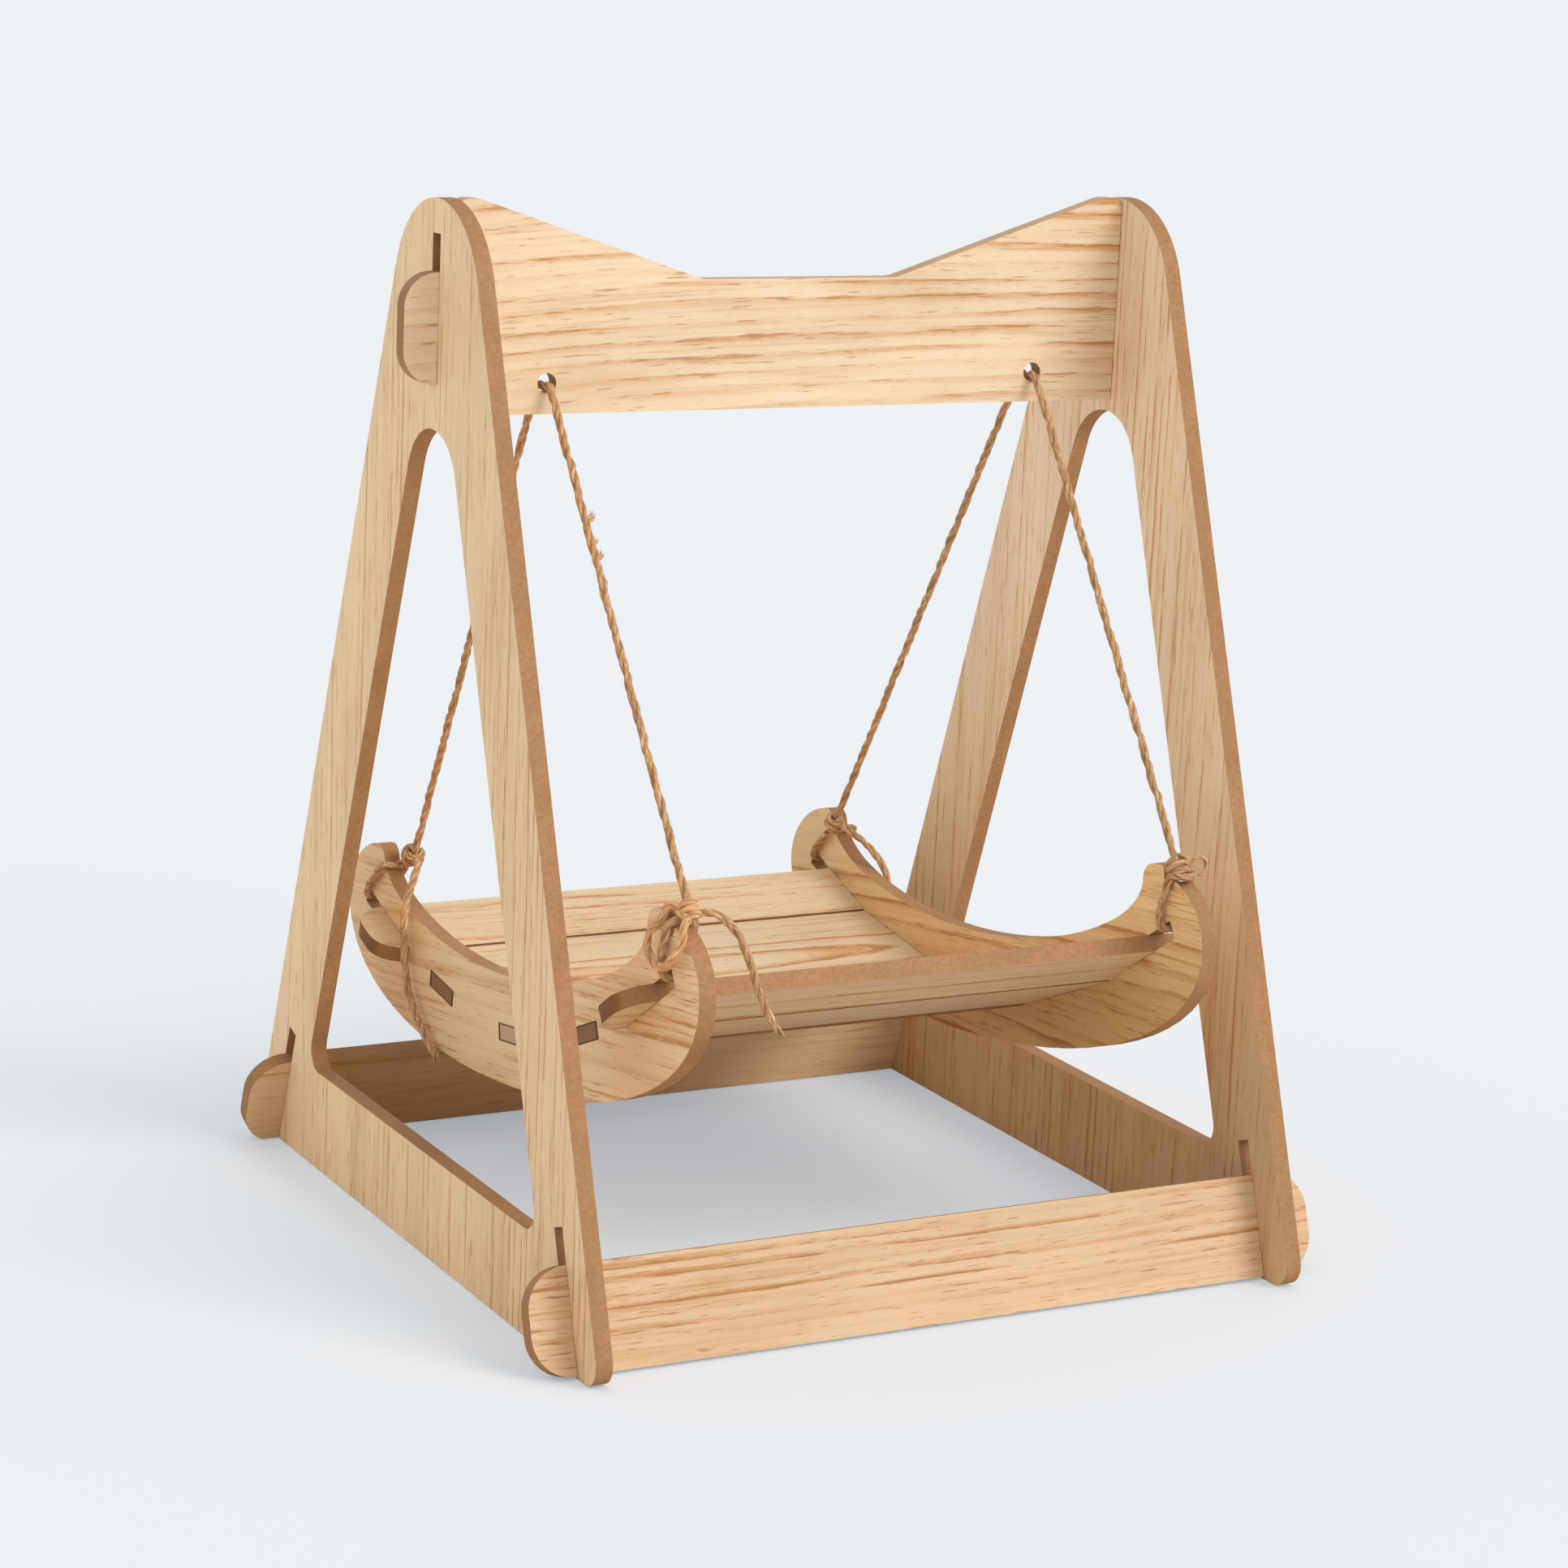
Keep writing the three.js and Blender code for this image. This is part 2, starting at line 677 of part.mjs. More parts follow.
const frontLoopRoute = [
  [7.6, -2.6, 2.4],
  [9.6, -3, 4.7],
  [12.4, -3.4, 5.3],
  [15.8, -3.6, 3.8],
  [17, -3.8, 0.5],
  [15.6, -4.2, -2.9],
  [12.2, -4.4, -4.2],
  [8.4, -4.4, -3],
];

function routePoints(knotMiddle, route, side = 1) {
  return route.map(([x, y, z]) => new THREE.Vector3(side * x, y, z).add(knotMiddle));
}

function tail(name, knotMiddle, route, steps, side) {
  const points = routePoints(knotMiddle, route, side);
  return tube(name, [atKnot(knotMiddle, points[0]), ...points], steps);
}

function loop(name, knotMiddle, route, steps, radius) {
  const points = routePoints(knotMiddle, route);
  const ends = [atKnot(knotMiddle, points[0]), atKnot(knotMiddle, points.at(-1))];
  return tube(name, [ends[0], ...points, ends[1]], steps, radius);
}

// Knots, lashings and loose ends hang with the cradle
function cradleRopes(toKnotFrame) {
  const group = new THREE.Group();
  for (const [sideName, side] of [["left", -1], ["right", 1]]) {
    const front = frontKnotPlace(side);
    const back = backKnotPlace(side);
    group.add(knot(`${sideName}_front_knot`, front, toKnotFrame(front, side)));
    group.add(knot(`${sideName}_back_knot`, back, toKnotFrame(back, side)));
    group.add(frontLashing(`${sideName}_front_lashing`, side));
    group.add(backLashing(`${sideName}_back_lashing`, side));
    group.add(tail(`${sideName}_back_tail`, back, backTailRoute, tailSteps, -side));
  }
  group.add(tail("left_front_tail", frontKnotPlace(-1), frontTailRoute, tailSteps));
  group.add(loop("left_front_bow", frontKnotPlace(-1), frontBowRoute, bowSteps));
  group.add(loop("right_front_loop", frontKnotPlace(1), frontLoopRoute, tailSteps, strandRadius));
  return group;
}

const cradle = new THREE.Group();
cradle.position.set(0, cradleY, cradleZ);
cradle.rotation.x = -cradleTilt;
cradle.updateMatrixWorld();

// Unit direction in the cradle's axes from a knot up to the rope hole on its side
function directionToHole(place, side) {
  const hole = cradle.worldToLocal(new THREE.Vector3(side * crescentX, 0, ropeHoleZ));
  return hole.sub(place).normalize();
}

cradle.add(cradleBoards(), cradleRopes(directionToHole));

// The rope bends at each mouth of its hole, and falls straight from there to the knot
function ropeMouth(side, knotPlace) {
  const end = Math.sign(knotPlace.y);
  const mouth = new THREE.Vector3(side * crescentX, end * ropeMouthReach, ropeHoleZ - ropeMouthSink);
  const down = knotPlace.clone().sub(mouth).normalize();
  return { mouth, down, saddleEnd: mouth.clone().addScaledVector(down, ropeMouthDrop) };
}

function hangingRopes(sideName, side) {
  const knots = [frontKnotPlace(side), backKnotPlace(side)].map((place) => cradle.localToWorld(place));
  const mouths = knots.map((place) => ropeMouth(side, place));
  const falls = knots.map((place, index) => {
    const { saddleEnd, down } = mouths[index];
    const start = saddleEnd.clone().addScaledVector(down, ropeGap);
    const finish = place.clone().addScaledVector(down, -(knotHalfHeight + ropeGap));
    return tube(`${sideName}_${index === 0 ? "front" : "back"}_rope`, [start, finish], fallSteps);
  });
  const saddleSide = mouths.map(({ mouth, down, saddleEnd }) => [
    saddleEnd,
    mouth.clone().addScaledVector(down, ropeMouthDrop * ropeBendShare),
    new THREE.Vector3(mouth.x, Math.sign(mouth.y) * halfThickness, ropeHoleZ - ropeLipSink),
  ]);
  const saddleMiddle = new THREE.Vector3(side * crescentX, 0, ropeHoleZ - ropeMiddleSink);
  const saddleRoute = [...saddleSide[0], saddleMiddle, ...saddleSide[1].reverse()];
  return [tube(`${sideName}_rope_saddle`, saddleRoute, saddleSteps), ...falls];
}

const swingBed = new THREE.Group();
swingBed.add(frame(), cradle);
swingBed.add(...hangingRopes("left", -1), ...hangingRopes("right", 1));

// The origin is on the floor, under the middle of the box round the boards
swingBed.updateMatrixWorld();
const box = new THREE.Box3();
swingBed.traverse((piece) => {
  if (piece.isMesh && piece.material !== jute) box.expandByObject(piece, true);
});
swingBed.position.y = -(box.min.y + box.max.y) / 2;

export default swingBed;
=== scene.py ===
import math
from collections import namedtuple

import bpy
import numpy as np
from mathutils import Matrix, Vector


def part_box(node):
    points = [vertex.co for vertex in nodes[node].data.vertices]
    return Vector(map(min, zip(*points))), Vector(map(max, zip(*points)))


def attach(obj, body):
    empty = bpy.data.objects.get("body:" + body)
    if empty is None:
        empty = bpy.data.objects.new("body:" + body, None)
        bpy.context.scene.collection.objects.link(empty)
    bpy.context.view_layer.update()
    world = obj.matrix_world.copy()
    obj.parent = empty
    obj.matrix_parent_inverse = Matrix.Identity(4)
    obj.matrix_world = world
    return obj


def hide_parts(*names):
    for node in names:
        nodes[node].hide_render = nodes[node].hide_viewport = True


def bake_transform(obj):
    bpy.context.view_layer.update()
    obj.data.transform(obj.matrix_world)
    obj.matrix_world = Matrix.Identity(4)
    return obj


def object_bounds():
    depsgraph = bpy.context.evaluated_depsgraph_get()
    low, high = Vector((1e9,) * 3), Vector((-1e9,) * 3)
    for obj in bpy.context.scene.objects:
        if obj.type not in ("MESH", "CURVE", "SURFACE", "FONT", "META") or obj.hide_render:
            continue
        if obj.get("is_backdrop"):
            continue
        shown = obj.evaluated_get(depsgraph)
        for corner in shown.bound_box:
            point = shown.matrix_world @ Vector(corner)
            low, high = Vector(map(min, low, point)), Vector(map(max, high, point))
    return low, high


# A swing bed for a cat: a veneered A-frame, and a slatted cradle on two jute ropes.
# Metres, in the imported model's frame: +X right, +Y from front to back, +Z up.

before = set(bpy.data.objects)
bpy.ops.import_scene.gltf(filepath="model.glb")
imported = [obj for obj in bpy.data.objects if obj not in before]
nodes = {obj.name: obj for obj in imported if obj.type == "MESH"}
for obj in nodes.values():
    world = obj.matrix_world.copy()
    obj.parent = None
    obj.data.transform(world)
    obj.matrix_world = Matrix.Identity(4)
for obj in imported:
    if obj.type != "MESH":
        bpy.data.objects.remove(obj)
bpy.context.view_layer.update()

MM = 0.001
X, Y, Z = Vector((1, 0, 0)), Vector((0, 1, 0)), Vector((0, 0, 1))

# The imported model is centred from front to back, so the middle of its A-frame lies a little forward
FRAME_MIDDLE = -5.545 * MM
LEG_LEAN = math.radians(19.26)
CRADLE_TILT = math.radians(7.8)
CRADLE_PLACE = Vector((0, 6.8 * MM + FRAME_MIDDLE, 118.7 * MM))
LOWER_SLAT_TILT = math.radians(15)
HOOK_SLAT_TILT = math.radians(25.7)

# The camera stands where the photograph's did
CAMERA_PLACE = Vector((-1.105494, -2.078828, 0.790780))
CAMERA_AZIMUTH = math.radians(28.193)
CAMERA_DROP = math.radians(12.771)
CAMERA_ROLL = math.radians(2.49)
PHOTO_WIDTH = 1932
FOCAL_PIXELS = 5059.835
SENSOR_WIDTH = 36
VIEW_DISTANCE = 200
RIGHT_OF_CAMERA = Vector((math.cos(CAMERA_AZIMUTH), -math.sin(CAMERA_AZIMUTH), 0))


def make_camera():
    data = bpy.data.cameras.new("camera")
    data.sensor_width = SENSOR_WIDTH
    data.lens = FOCAL_PIXELS / PHOTO_WIDTH * SENSOR_WIDTH
    data.clip_end = VIEW_DISTANCE
    camera = bpy.data.objects.new("camera", data)
    bpy.context.scene.collection.objects.link(camera)
    level = Vector((math.sin(CAMERA_AZIMUTH), math.cos(CAMERA_AZIMUTH), 0))
    forward = level * math.cos(CAMERA_DROP) - Z * math.sin(CAMERA_DROP)
    up = RIGHT_OF_CAMERA.cross(forward)
    turn = Matrix.Rotation(-CAMERA_ROLL, 3, forward)
    rotation = Matrix((turn @ RIGHT_OF_CAMERA, turn @ up, -forward)).transposed()
    camera.matrix_world = Matrix.LocRotScale(CAMERA_PLACE, rotation, None)
    bpy.context.scene.camera = camera


make_camera()


def linear(red, green, blue):
    """A colour given in the 0 to 255 of a picture, as Blender's linear one."""
    def one(value):
        value /= 255
        return value / 12.92 if value <= 0.04045 else ((value + 0.055) / 1.055) ** 2.4
    return (one(red), one(green), one(blue), 1)


# Places

def cradle_direction(y, z):
    """A direction given in the cradle's own axes, in the model's frame."""
    cos, sin = math.cos(CRADLE_TILT), math.sin(CRADLE_TILT)
    return Vector((0, y * cos + z * sin, -y * sin + z * cos))


def cradle_point(x, y, z):
    """A point given in the cradle's own axes, in millimetres, in the model's frame."""
    return CRADLE_PLACE + X * (x * MM) + cradle_direction(y * MM, z * MM)


def frame_point(x, y, z):
    """A point given in the A-frame's own axes, in millimetres, in the model's frame."""
    return Vector((x * MM, y * MM + FRAME_MIDDLE, z * MM))


# Lines

def spline(points, per_span):
    """The centripetal curve through the points that the model's tubes follow too."""
    points = [np.array(p, float) for p in points]
    padded = [2 * points[0] - points[1], *points, 2 * points[-1] - points[-2]]
    line = []
    for i in range(len(points) - 1):
        p0, p1, p2, p3 = padded[i:i + 4]
        steps = ((p0, p1), (p1, p2), (p2, p3))
        d0, d1, d2 = [max(np.linalg.norm(b - a) ** 0.5, 1e-6) for a, b in steps]
        t1 = ((p1 - p0) / d0 - (p2 - p0) / (d0 + d1) + (p2 - p1) / d1) * d1
        t2 = ((p2 - p1) / d1 - (p3 - p1) / (d1 + d2) + (p3 - p2) / d2) * d1
        a = 2 * p1 - 2 * p2 + t1 + t2
        b = -3 * p1 + 3 * p2 - 2 * t1 - t2
        for t in np.arange(per_span) / per_span:
            line.append(((a * t + b) * t + t1) * t + p1)
    line.append(points[-1])
    return np.array(line)


def straight(start, end, step):
    """Points at even distances from one end to the other."""
    a, b = np.array(start, float), np.array(end, float)
    count = max(2, round(np.linalg.norm(b - a) / step))
    return [a + (b - a) * i / count for i in range(count + 1)]


def distances(line):
    """How far along the line each of its points lies."""
    return np.concatenate([[0], np.cumsum(np.linalg.norm(np.diff(line, axis=0), axis=1))])


def evenly(line, step):
    """The same line with its points at even distances."""
    along = distances(line)
    at = np.linspace(0, along[-1], max(3, round(along[-1] / step) + 1))
    return np.stack([np.interp(at, along, line[:, k]) for k in range(3)], axis=1)


def carried_frames(line):
    """The line's direction at each of its points, and two across it, carried along without twist."""
    tangents = np.gradient(line, axis=0)
    tangents /= np.linalg.norm(tangents, axis=1)[:, None]
    upright = abs(tangents[0][2]) >= 0.8
    side = np.array((1, 0.3, 0.2) if upright else (0.3, 0.2, 1))
    across = []
    for tangent in tangents:
        side = side - tangent * (side @ tangent)
        side = side / np.linalg.norm(side)
        across.append(side)
    across = np.array(across)
    return tangents, across, np.cross(tangents, across)


# Ropes: three strands, each a tube that winds round the rope's line.
# A strand's radius and its distance from the line are shares of the rope's radius.
ROPE_RADIUS = 2.5 * MM
KNOT_ROPE_RADIUS = ROPE_RADIUS * 0.92
LOOP_RADIUS = 1.3 * MM
ROPE_STEP = 0.9 * MM
LAY_LENGTH = 28 * MM
STRANDS = 3
STRAND_SIDES = 10
STRAND_RADIUS = 0.59
STRAND_OFFSET = 0.40

# How unevenly a rope is laid: by how much, and over what length
LINE_WOBBLE, LINE_WAVE = 0.13, 8 * MM
TURN_WOBBLE, TURN_WAVE = 0.7, 10 * MM
STRAND_MEAN, STRAND_WOBBLE, STRAND_WAVE = 0.97, 0.16, 5 * MM

# A loose end unlays: its strands spread and thin out over this length
OPEN_LENGTH = 9 * MM
OPEN_SPREAD = 0.9
OPEN_THINNING = 0.45

# Each rope has its own shade, by its seed
SHADE_STEP = 0.37


def lump(values, wave, seed):
    """A smooth wandering value along a rope, between about -1 and 1."""
    return sum(np.sin(values / (wave * k) + seed * (3.1 + k)) for k in (1, 0.61, 0.37)) / 3


def tube_faces(first, rings, sides):
    """The faces of a closed tube, from the number of its first vertex."""
    faces = []
    for ring in range(rings - 1):
        for side in range(sides):
            a = first + ring * sides + side
            b = first + ring * sides + (side + 1) % sides
            faces.append((a, b, b + sides, a + sides))
    last = first + (rings - 1) * sides
    faces.append(tuple(reversed(range(first, first + sides))))
    faces.append(tuple(range(last, last + sides)))
    return faces


def rope_parts(line, radius, seed, open_length):
    """Vertices, faces and strand coordinates of one laid rope. It unlays over the open length."""
    line = evenly(line, ROPE_STEP)
    tangents, across, third = carried_frames(line)
    along = distances(line)
    for k, direction in enumerate((across, third)):
        wobble = radius * LINE_WOBBLE * lump(along, LINE_WAVE, seed * 2.1 + k)
        line = line + direction * wobble[:, None]
    opened = np.zeros(len(line))
    if open_length:
        opened = np.clip(1 - (along[-1] - along) / open_length, 0, 1)
    offset = radius * STRAND_OFFSET * (1 + OPEN_SPREAD * opened ** 2)
    angles = np.arange(STRAND_SIDES) / STRAND_SIDES * 2 * math.pi
    vertices, faces, coordinates = [], [], []
    for strand in range(STRANDS):
        turn = 2 * math.pi * (along / LAY_LENGTH + strand / STRANDS)
        turn += TURN_WOBBLE * lump(along, TURN_WAVE, seed + strand)
        cos, sin = np.cos(turn)[:, None], np.sin(turn)[:, None]
        outward = across * cos + third * sin
        sideways = third * cos - across * sin
        middle = line + outward * offset[:, None]
        uneven = STRAND_MEAN + STRAND_WOBBLE * lump(along, STRAND_WAVE, seed * 1.7 + strand * 2.3)
        thick = radius * STRAND_RADIUS * uneven * (1 - OPEN_THINNING * opened)
        faces.extend(tube_faces(len(vertices), len(line), STRAND_SIDES))
        for i in range(len(line)):
            ring = np.cos(angles)[:, None] * outward[i] + np.sin(angles)[:, None] * sideways[i]
            vertices.extend(middle[i] + thick[i] * ring)
            for angle in angles:
                around = angle * radius * STRAND_RADIUS
                coordinates.append((along[i], around, strand + seed * SHADE_STEP, math.cos(angle)))
    return vertices, faces, coordinates


# Loose fibres: how many stand on a metre of rope, how far they reach and how thick they are
HANGING_FIBRES = 520
KNOT_FIBRES = 380
LOOSE_FIBRES = 420
HAIR_REACH = 3 * MM
HAIR_RADIUS = 0.065 * MM
HAIR_TAPER = 0.7
HAIR_STEPS = 4
HAIR_SIDES = 3
HAIR_ROOT = 0.8

# How far a fibre of full length goes outward, along its rope and round it
HAIR_OUT, HAIR_LEAN, HAIR_CURL = 0.75, 1.1, 0.8

# The yarns and the fibres of a frayed strand end: count, radius beside its size, sides, taper
TUFT_STRANDS = ((9, 0.075, 6, 0.5), (40, 0.014, 3, 0.6))
TUFT_SPREAD = 0.12


def add_hair(made, start, bends, radius, shade, sides=HAIR_SIDES, taper=HAIR_TAPER):
    """One fibre from its root: outward, along and curling by the three bends, thinner to its tip."""
    vertices, faces, coordinates = made
    out, along, curl = bends
    side = np.cross(out, (0.31, 0.52, 0.8))
    side /= np.linalg.norm(side)
    third = np.cross(out, side) / np.linalg.norm(out)
    faces.extend(tube_faces(len(vertices), HAIR_STEPS + 1, sides))
    for step in range(HAIR_STEPS + 1):
        t = step / HAIR_STEPS
        point = start + out * t * (1 - 0.35 * t) + along * t + curl * t * t
        for k in range(sides):
            a = 2 * math.pi * k / sides
            vertices.append(point + radius * (1 - taper * t) * (math.cos(a) * side + math.sin(a) * third))
            coordinates.append((0.01 * t, 0.0, shade, 1.0))


def hair_parts(line, radius, per_metre, seed):
    """Loose fibres that stand off a rope."""
    draw = np.random.default_rng(seed)
    line = evenly(line, ROPE_STEP)
    tangents, across, third = carried_frames(line)
    made = [], [], []
    for _ in range(max(4, round(distances(line)[-1] * per_metre))):
        i = draw.integers(1, len(line) - 1)
        angle, lean, curl = draw.uniform(0, 2 * math.pi), draw.uniform(-1, 1), draw.uniform(-1, 1)
        size = HAIR_REACH * draw.uniform(0.35, 1) ** 1.6
        out = across[i] * math.cos(angle) + third[i] * math.sin(angle)
        side = np.cross(tangents[i], out)
        bends = (
            size * HAIR_OUT * out, size * HAIR_LEAN * lean * tangents[i], size * HAIR_CURL * curl * side,
        )
        root = line[i] + out * radius * HAIR_ROOT
        add_hair(made, root, bends, HAIR_RADIUS, seed * SHADE_STEP + lean)
    return made


def tuft_parts(root, out, up, size, seed):
    """A frayed strand end: a few yarns side by side that curl up, and fibres round them."""
    draw = np.random.default_rng(seed)
    made = [], [], []
    side = np.cross(out, up)
    for count, radius, sides, taper in TUFT_STRANDS:
        for _ in range(count):
            a, b, c = draw.uniform(-1, 1, 3)
            length = size * draw.uniform(0.8, 1)
            start = root + (side * a + up * b - out) * size * TUFT_SPREAD
            bends = (
                length * (1.1 + 0.1 * c) * out,
                length * (0.22 * b - 0.05) * up,
                length * (0.2 * a * side + (0.5 + 0.2 * c) * up - (0.15 + 0.15 * b) * out),
            )
            add_hair(made, start, bends, size * radius, seed * SHADE_STEP + a, sides, taper)
    return made


# Materials

Tone = namedtuple("Tone", "axis low high at_low at_high")
ALONG, ACROSS = 0, 1


class Shader:
    """Short names for the nodes of one material."""

    def __init__(self, name):
        self.material = bpy.data.materials.new(name)
        self.material.use_nodes = True
        self.tree = self.material.node_tree
        self.tree.nodes.clear()
        self.output = self.tree.nodes.new("ShaderNodeOutputMaterial")

    def node(self, kind, inputs=(), **settings):
        made = self.tree.nodes.new(kind)
        for key, value in settings.items():
            setattr(made, key, value)
        for key, value in dict(inputs).items():
            self.put(made.inputs[key], value)
        return made

    def put(self, socket, value):
        if isinstance(value, bpy.types.NodeSocket):
            self.tree.links.new(value, socket)
        else:
            socket.default_value = value

    def math(self, operation, a, b=0.0, clamp=False):
        return self.node("ShaderNodeMath", {0: a, 1: b}, operation=operation, use_clamp=clamp).outputs[0]

    def total(self, first, *others, clamp=False):
        for other in others:
            first = self.math("ADD", first, other, clamp)
        return first

    def product(self, first, *others):
        for other in others:
            first = self.math("MULTIPLY", first, other)
        return first

    def size(self, value):
        return self.math("ABSOLUTE", value)

    def vector(self, operation, a, b):
        return self.node("ShaderNodeVectorMath", {0: a, 1: b}, operation=operation)

    def along(self, vector, direction):
        """How far a vector points along a direction."""
        return self.vector("DOT_PRODUCT", vector, tuple(direction)).outputs["Value"]

    def combined(self, x, y, z):
        return self.node("ShaderNodeCombineXYZ", {0: x, 1: y, 2: z}).outputs[0]

    def noise(self, vector, waves, detail=2.0, roughness=0.5):
        """Noise with so many waves per metre: one number, or one along each axis."""
        scale = waves
        if isinstance(waves, tuple):
            vector, scale = self.vector("MULTIPLY", vector, waves).outputs[0], 1.0
        return self.node("ShaderNodeTexNoise", {
            "Vector": vector, "Scale": scale, "Detail": detail, "Roughness": roughness,
        }).outputs["Fac"]

    def ramp(self, value, low, high, to_low=0.0, to_high=1.0):
        return self.node("ShaderNodeMapRange", {
            "Value": value, "From Min": low, "From Max": high, "To Min": to_low, "To Max": to_high,
        }, interpolation_type="SMOOTHSTEP").outputs["Result"]

    def mix(self, share, first, second, blend="MIX"):
        made = self.node("ShaderNodeMix", data_type="RGBA", blend_type=blend)
        self.put(made.inputs["Factor"], share)
        self.put(made.inputs[6], first)
        self.put(made.inputs[7], second)
        return made.outputs[2]

    def mix_values(self, share, first, second):
        return self.node("ShaderNodeMix", {0: share, 2: first, 3: second}, data_type="FLOAT").outputs[0]

    def shaded(self, colour, tone, green, blue):
        """The colour times a tone, whose green and blue follow it by their own powers."""
        shade = self.combined(tone, self.math("POWER", tone, green), self.math("POWER", tone, blue))
        return self.mix(1.0, colour, shade, "MULTIPLY")

    def toned(self, colour, split, tones):
        """The colour darker or lighter along an axis of the board, and warmer where it is darker."""
        for axis, low, high, at_low, at_high in tones:
            tone = self.ramp(split.outputs[axis], low, high, at_low, at_high)
            colour = self.shaded(colour, tone, green=1.5, blue=2.3)
        return colour

    def finish(self, colour, roughness, height, bump_distance, bump_strength, **constants):
        bump = self.node("ShaderNodeBump", {
            "Height": height, "Distance": bump_distance, "Strength": bump_strength,
        })
        surface = self.node("ShaderNodeBsdfPrincipled", {
            "Base Color": colour, "Roughness": roughness, "Normal": bump.outputs[0], **constants,
        })
        self.tree.links.new(surface.outputs[0], self.output.inputs["Surface"])
        return self.material


# The veneer's patterns, as waves per metre along the grain and across it, and a step between slices
DRIFT = (2.6, 9, 0)
UNEVEN = (5, 70, 1)
RUN = (10, 150, 2)
STREAK = (9, 360, 1)
REGION = (5, 26, 2)
DASH = (46, 760, 3)
FINE_DASH = (110, 1700, 5)
FIBRE = (150, 2600, 0)
CLOUD = (7, 45, 0)
PATCH = (3.4, 15, 0)

# The fibreboard's patterns, in waves per metre
MOTTLE = 420.0
EDGE_CLOUD = 26.0
EDGE_ROUGHNESS = 0.72

# Where in each growth ring its dark line lies, from 0 to 1
RING_LINE = 0.56
# Laser char and painted shade of the gap, round a tenon's end
TENON_CHAR_AND_GAP_SHADE = linear(66, 44, 28)
TENON_PLAY = 0.1 * MM


def growth_rings(s, grain, split, seeded, seed):
    """Each growth ring's phase and strength, and the coordinates that follow the rings."""
    u, v = split.outputs[0], split.outputs[1]
    # A ring's number is the distance from a far centre line, which drifts slowly
    drift = s.math("SUBTRACT", s.noise(seeded, DRIFT), 0.5)
    level = s.total(s.math("SUBTRACT", v, grain["centre"]), s.product(drift, grain["wave"]))
    depth = s.total(s.product(u, grain["slope"]), grain["depth"])
    reach = s.math("SQRT", s.total(s.product(level, level), s.product(depth, depth)))
    lined = s.combined(s.total(u, seed * 1.37), reach, seed * 0.7)
    uneven = s.noise(lined, UNEVEN)
    ring = s.total(s.math("DIVIDE", reach, grain["spacing"]), s.product(uneven, grain["uneven"]))
    number = s.total(s.math("FLOOR", ring), seed * 10.0)
    drawn = s.node("ShaderNodeTexWhiteNoise", {"W": number}, noise_dimensions="1D").outputs["Value"]
    strength = s.total(s.product(s.math("POWER", drawn, 1.6), 0.85), 0.15)
    run = s.ramp(s.noise(lined, RUN), 0.34, 0.58, 0.15, 1.0)
    along, across, base = grain["dense"]
    dense = s.total(s.product(u, along), s.product(v, across), base)
    dense = s.math("MINIMUM", s.math("MAXIMUM", dense, 0.45), 1.6)
    return s.math("FRACT", ring), s.product(strength, run, dense), dense, lined


def veneer(s, colours, grain, split, mapped, seed):
    """The veneer's colour, its roughness and the height of its surface."""
    seeded = s.vector("ADD", mapped, (seed * 1.37, seed * 0.83, 0)).outputs[0]
    phase, strength, dense, lined = growth_rings(s, grain, split, seeded, seed)
    # Each ring darkens slowly towards its line, and its line breaks up into short dashes
    late = s.product(s.ramp(phase, 0.05, 0.55), s.ramp(phase, 0.72, RING_LINE))
    from_line = s.size(s.math("SUBTRACT", phase, RING_LINE))
    row = s.product(s.ramp(from_line, 0.17, 0.03), strength)
    band = s.product(late, strength)
    region = s.ramp(s.noise(seeded, REGION), 0.38, 0.62)
    streak = s.ramp(s.noise(lined, STREAK, 4.0, 0.62), 0.46, 0.70)
    streak = s.product(streak, region, dense)
    dashes = s.total(
        s.noise(lined, DASH, 3.0, 0.6),
        s.product(s.math("SUBTRACT", dense, 1.0), 0.045),
        s.total(s.product(row, 0.25), s.product(region, 0.04)),
    )
    fine = s.ramp(s.noise(lined, FINE_DASH), 0.56, 0.68)
    fine = s.product(fine, s.total(band, 0.12))
    pores = s.math("MAXIMUM", s.ramp(dashes, 0.63, 0.715), fine)
    cloudy = s.ramp(s.noise(seeded, CLOUD, 3.0), 0.5, 0.75, 0.0, 0.3)
    tint = s.total(s.product(band, grain["bands"]), s.product(streak, grain["streaks"]), clamp=True)
    colour = s.mix(s.total(tint, cloudy, clamp=True), colours["light"], colours["band"])
    colour = s.mix(s.product(pores, grain["pores"]), colour, colours["pore"])
    fibre = s.noise(seeded, FIBRE)
    tone = s.ramp(s.noise(seeded, PATCH), 0.3, 0.7, 0.94, 1.05)
    tone = s.total(tone, s.ramp(fibre, 0.3, 0.7, -0.03, 0.03))
    shade = s.combined(tone, s.product(tone, 0.998), s.math("POWER", tone, 1.35))
    # Painted shade and light: the grain's tones make the veneer darker or lighter along the board, as the
    # light falls on it
    colour = s.toned(s.mix(1.0, colour, shade, "MULTIPLY"), split, grain["tones"])
    height = s.math("SUBTRACT", s.product(fibre, 0.35), s.product(pores, 0.8))
    return colour, s.ramp(band, 0.0, 1.0, 0.44, 0.54), height


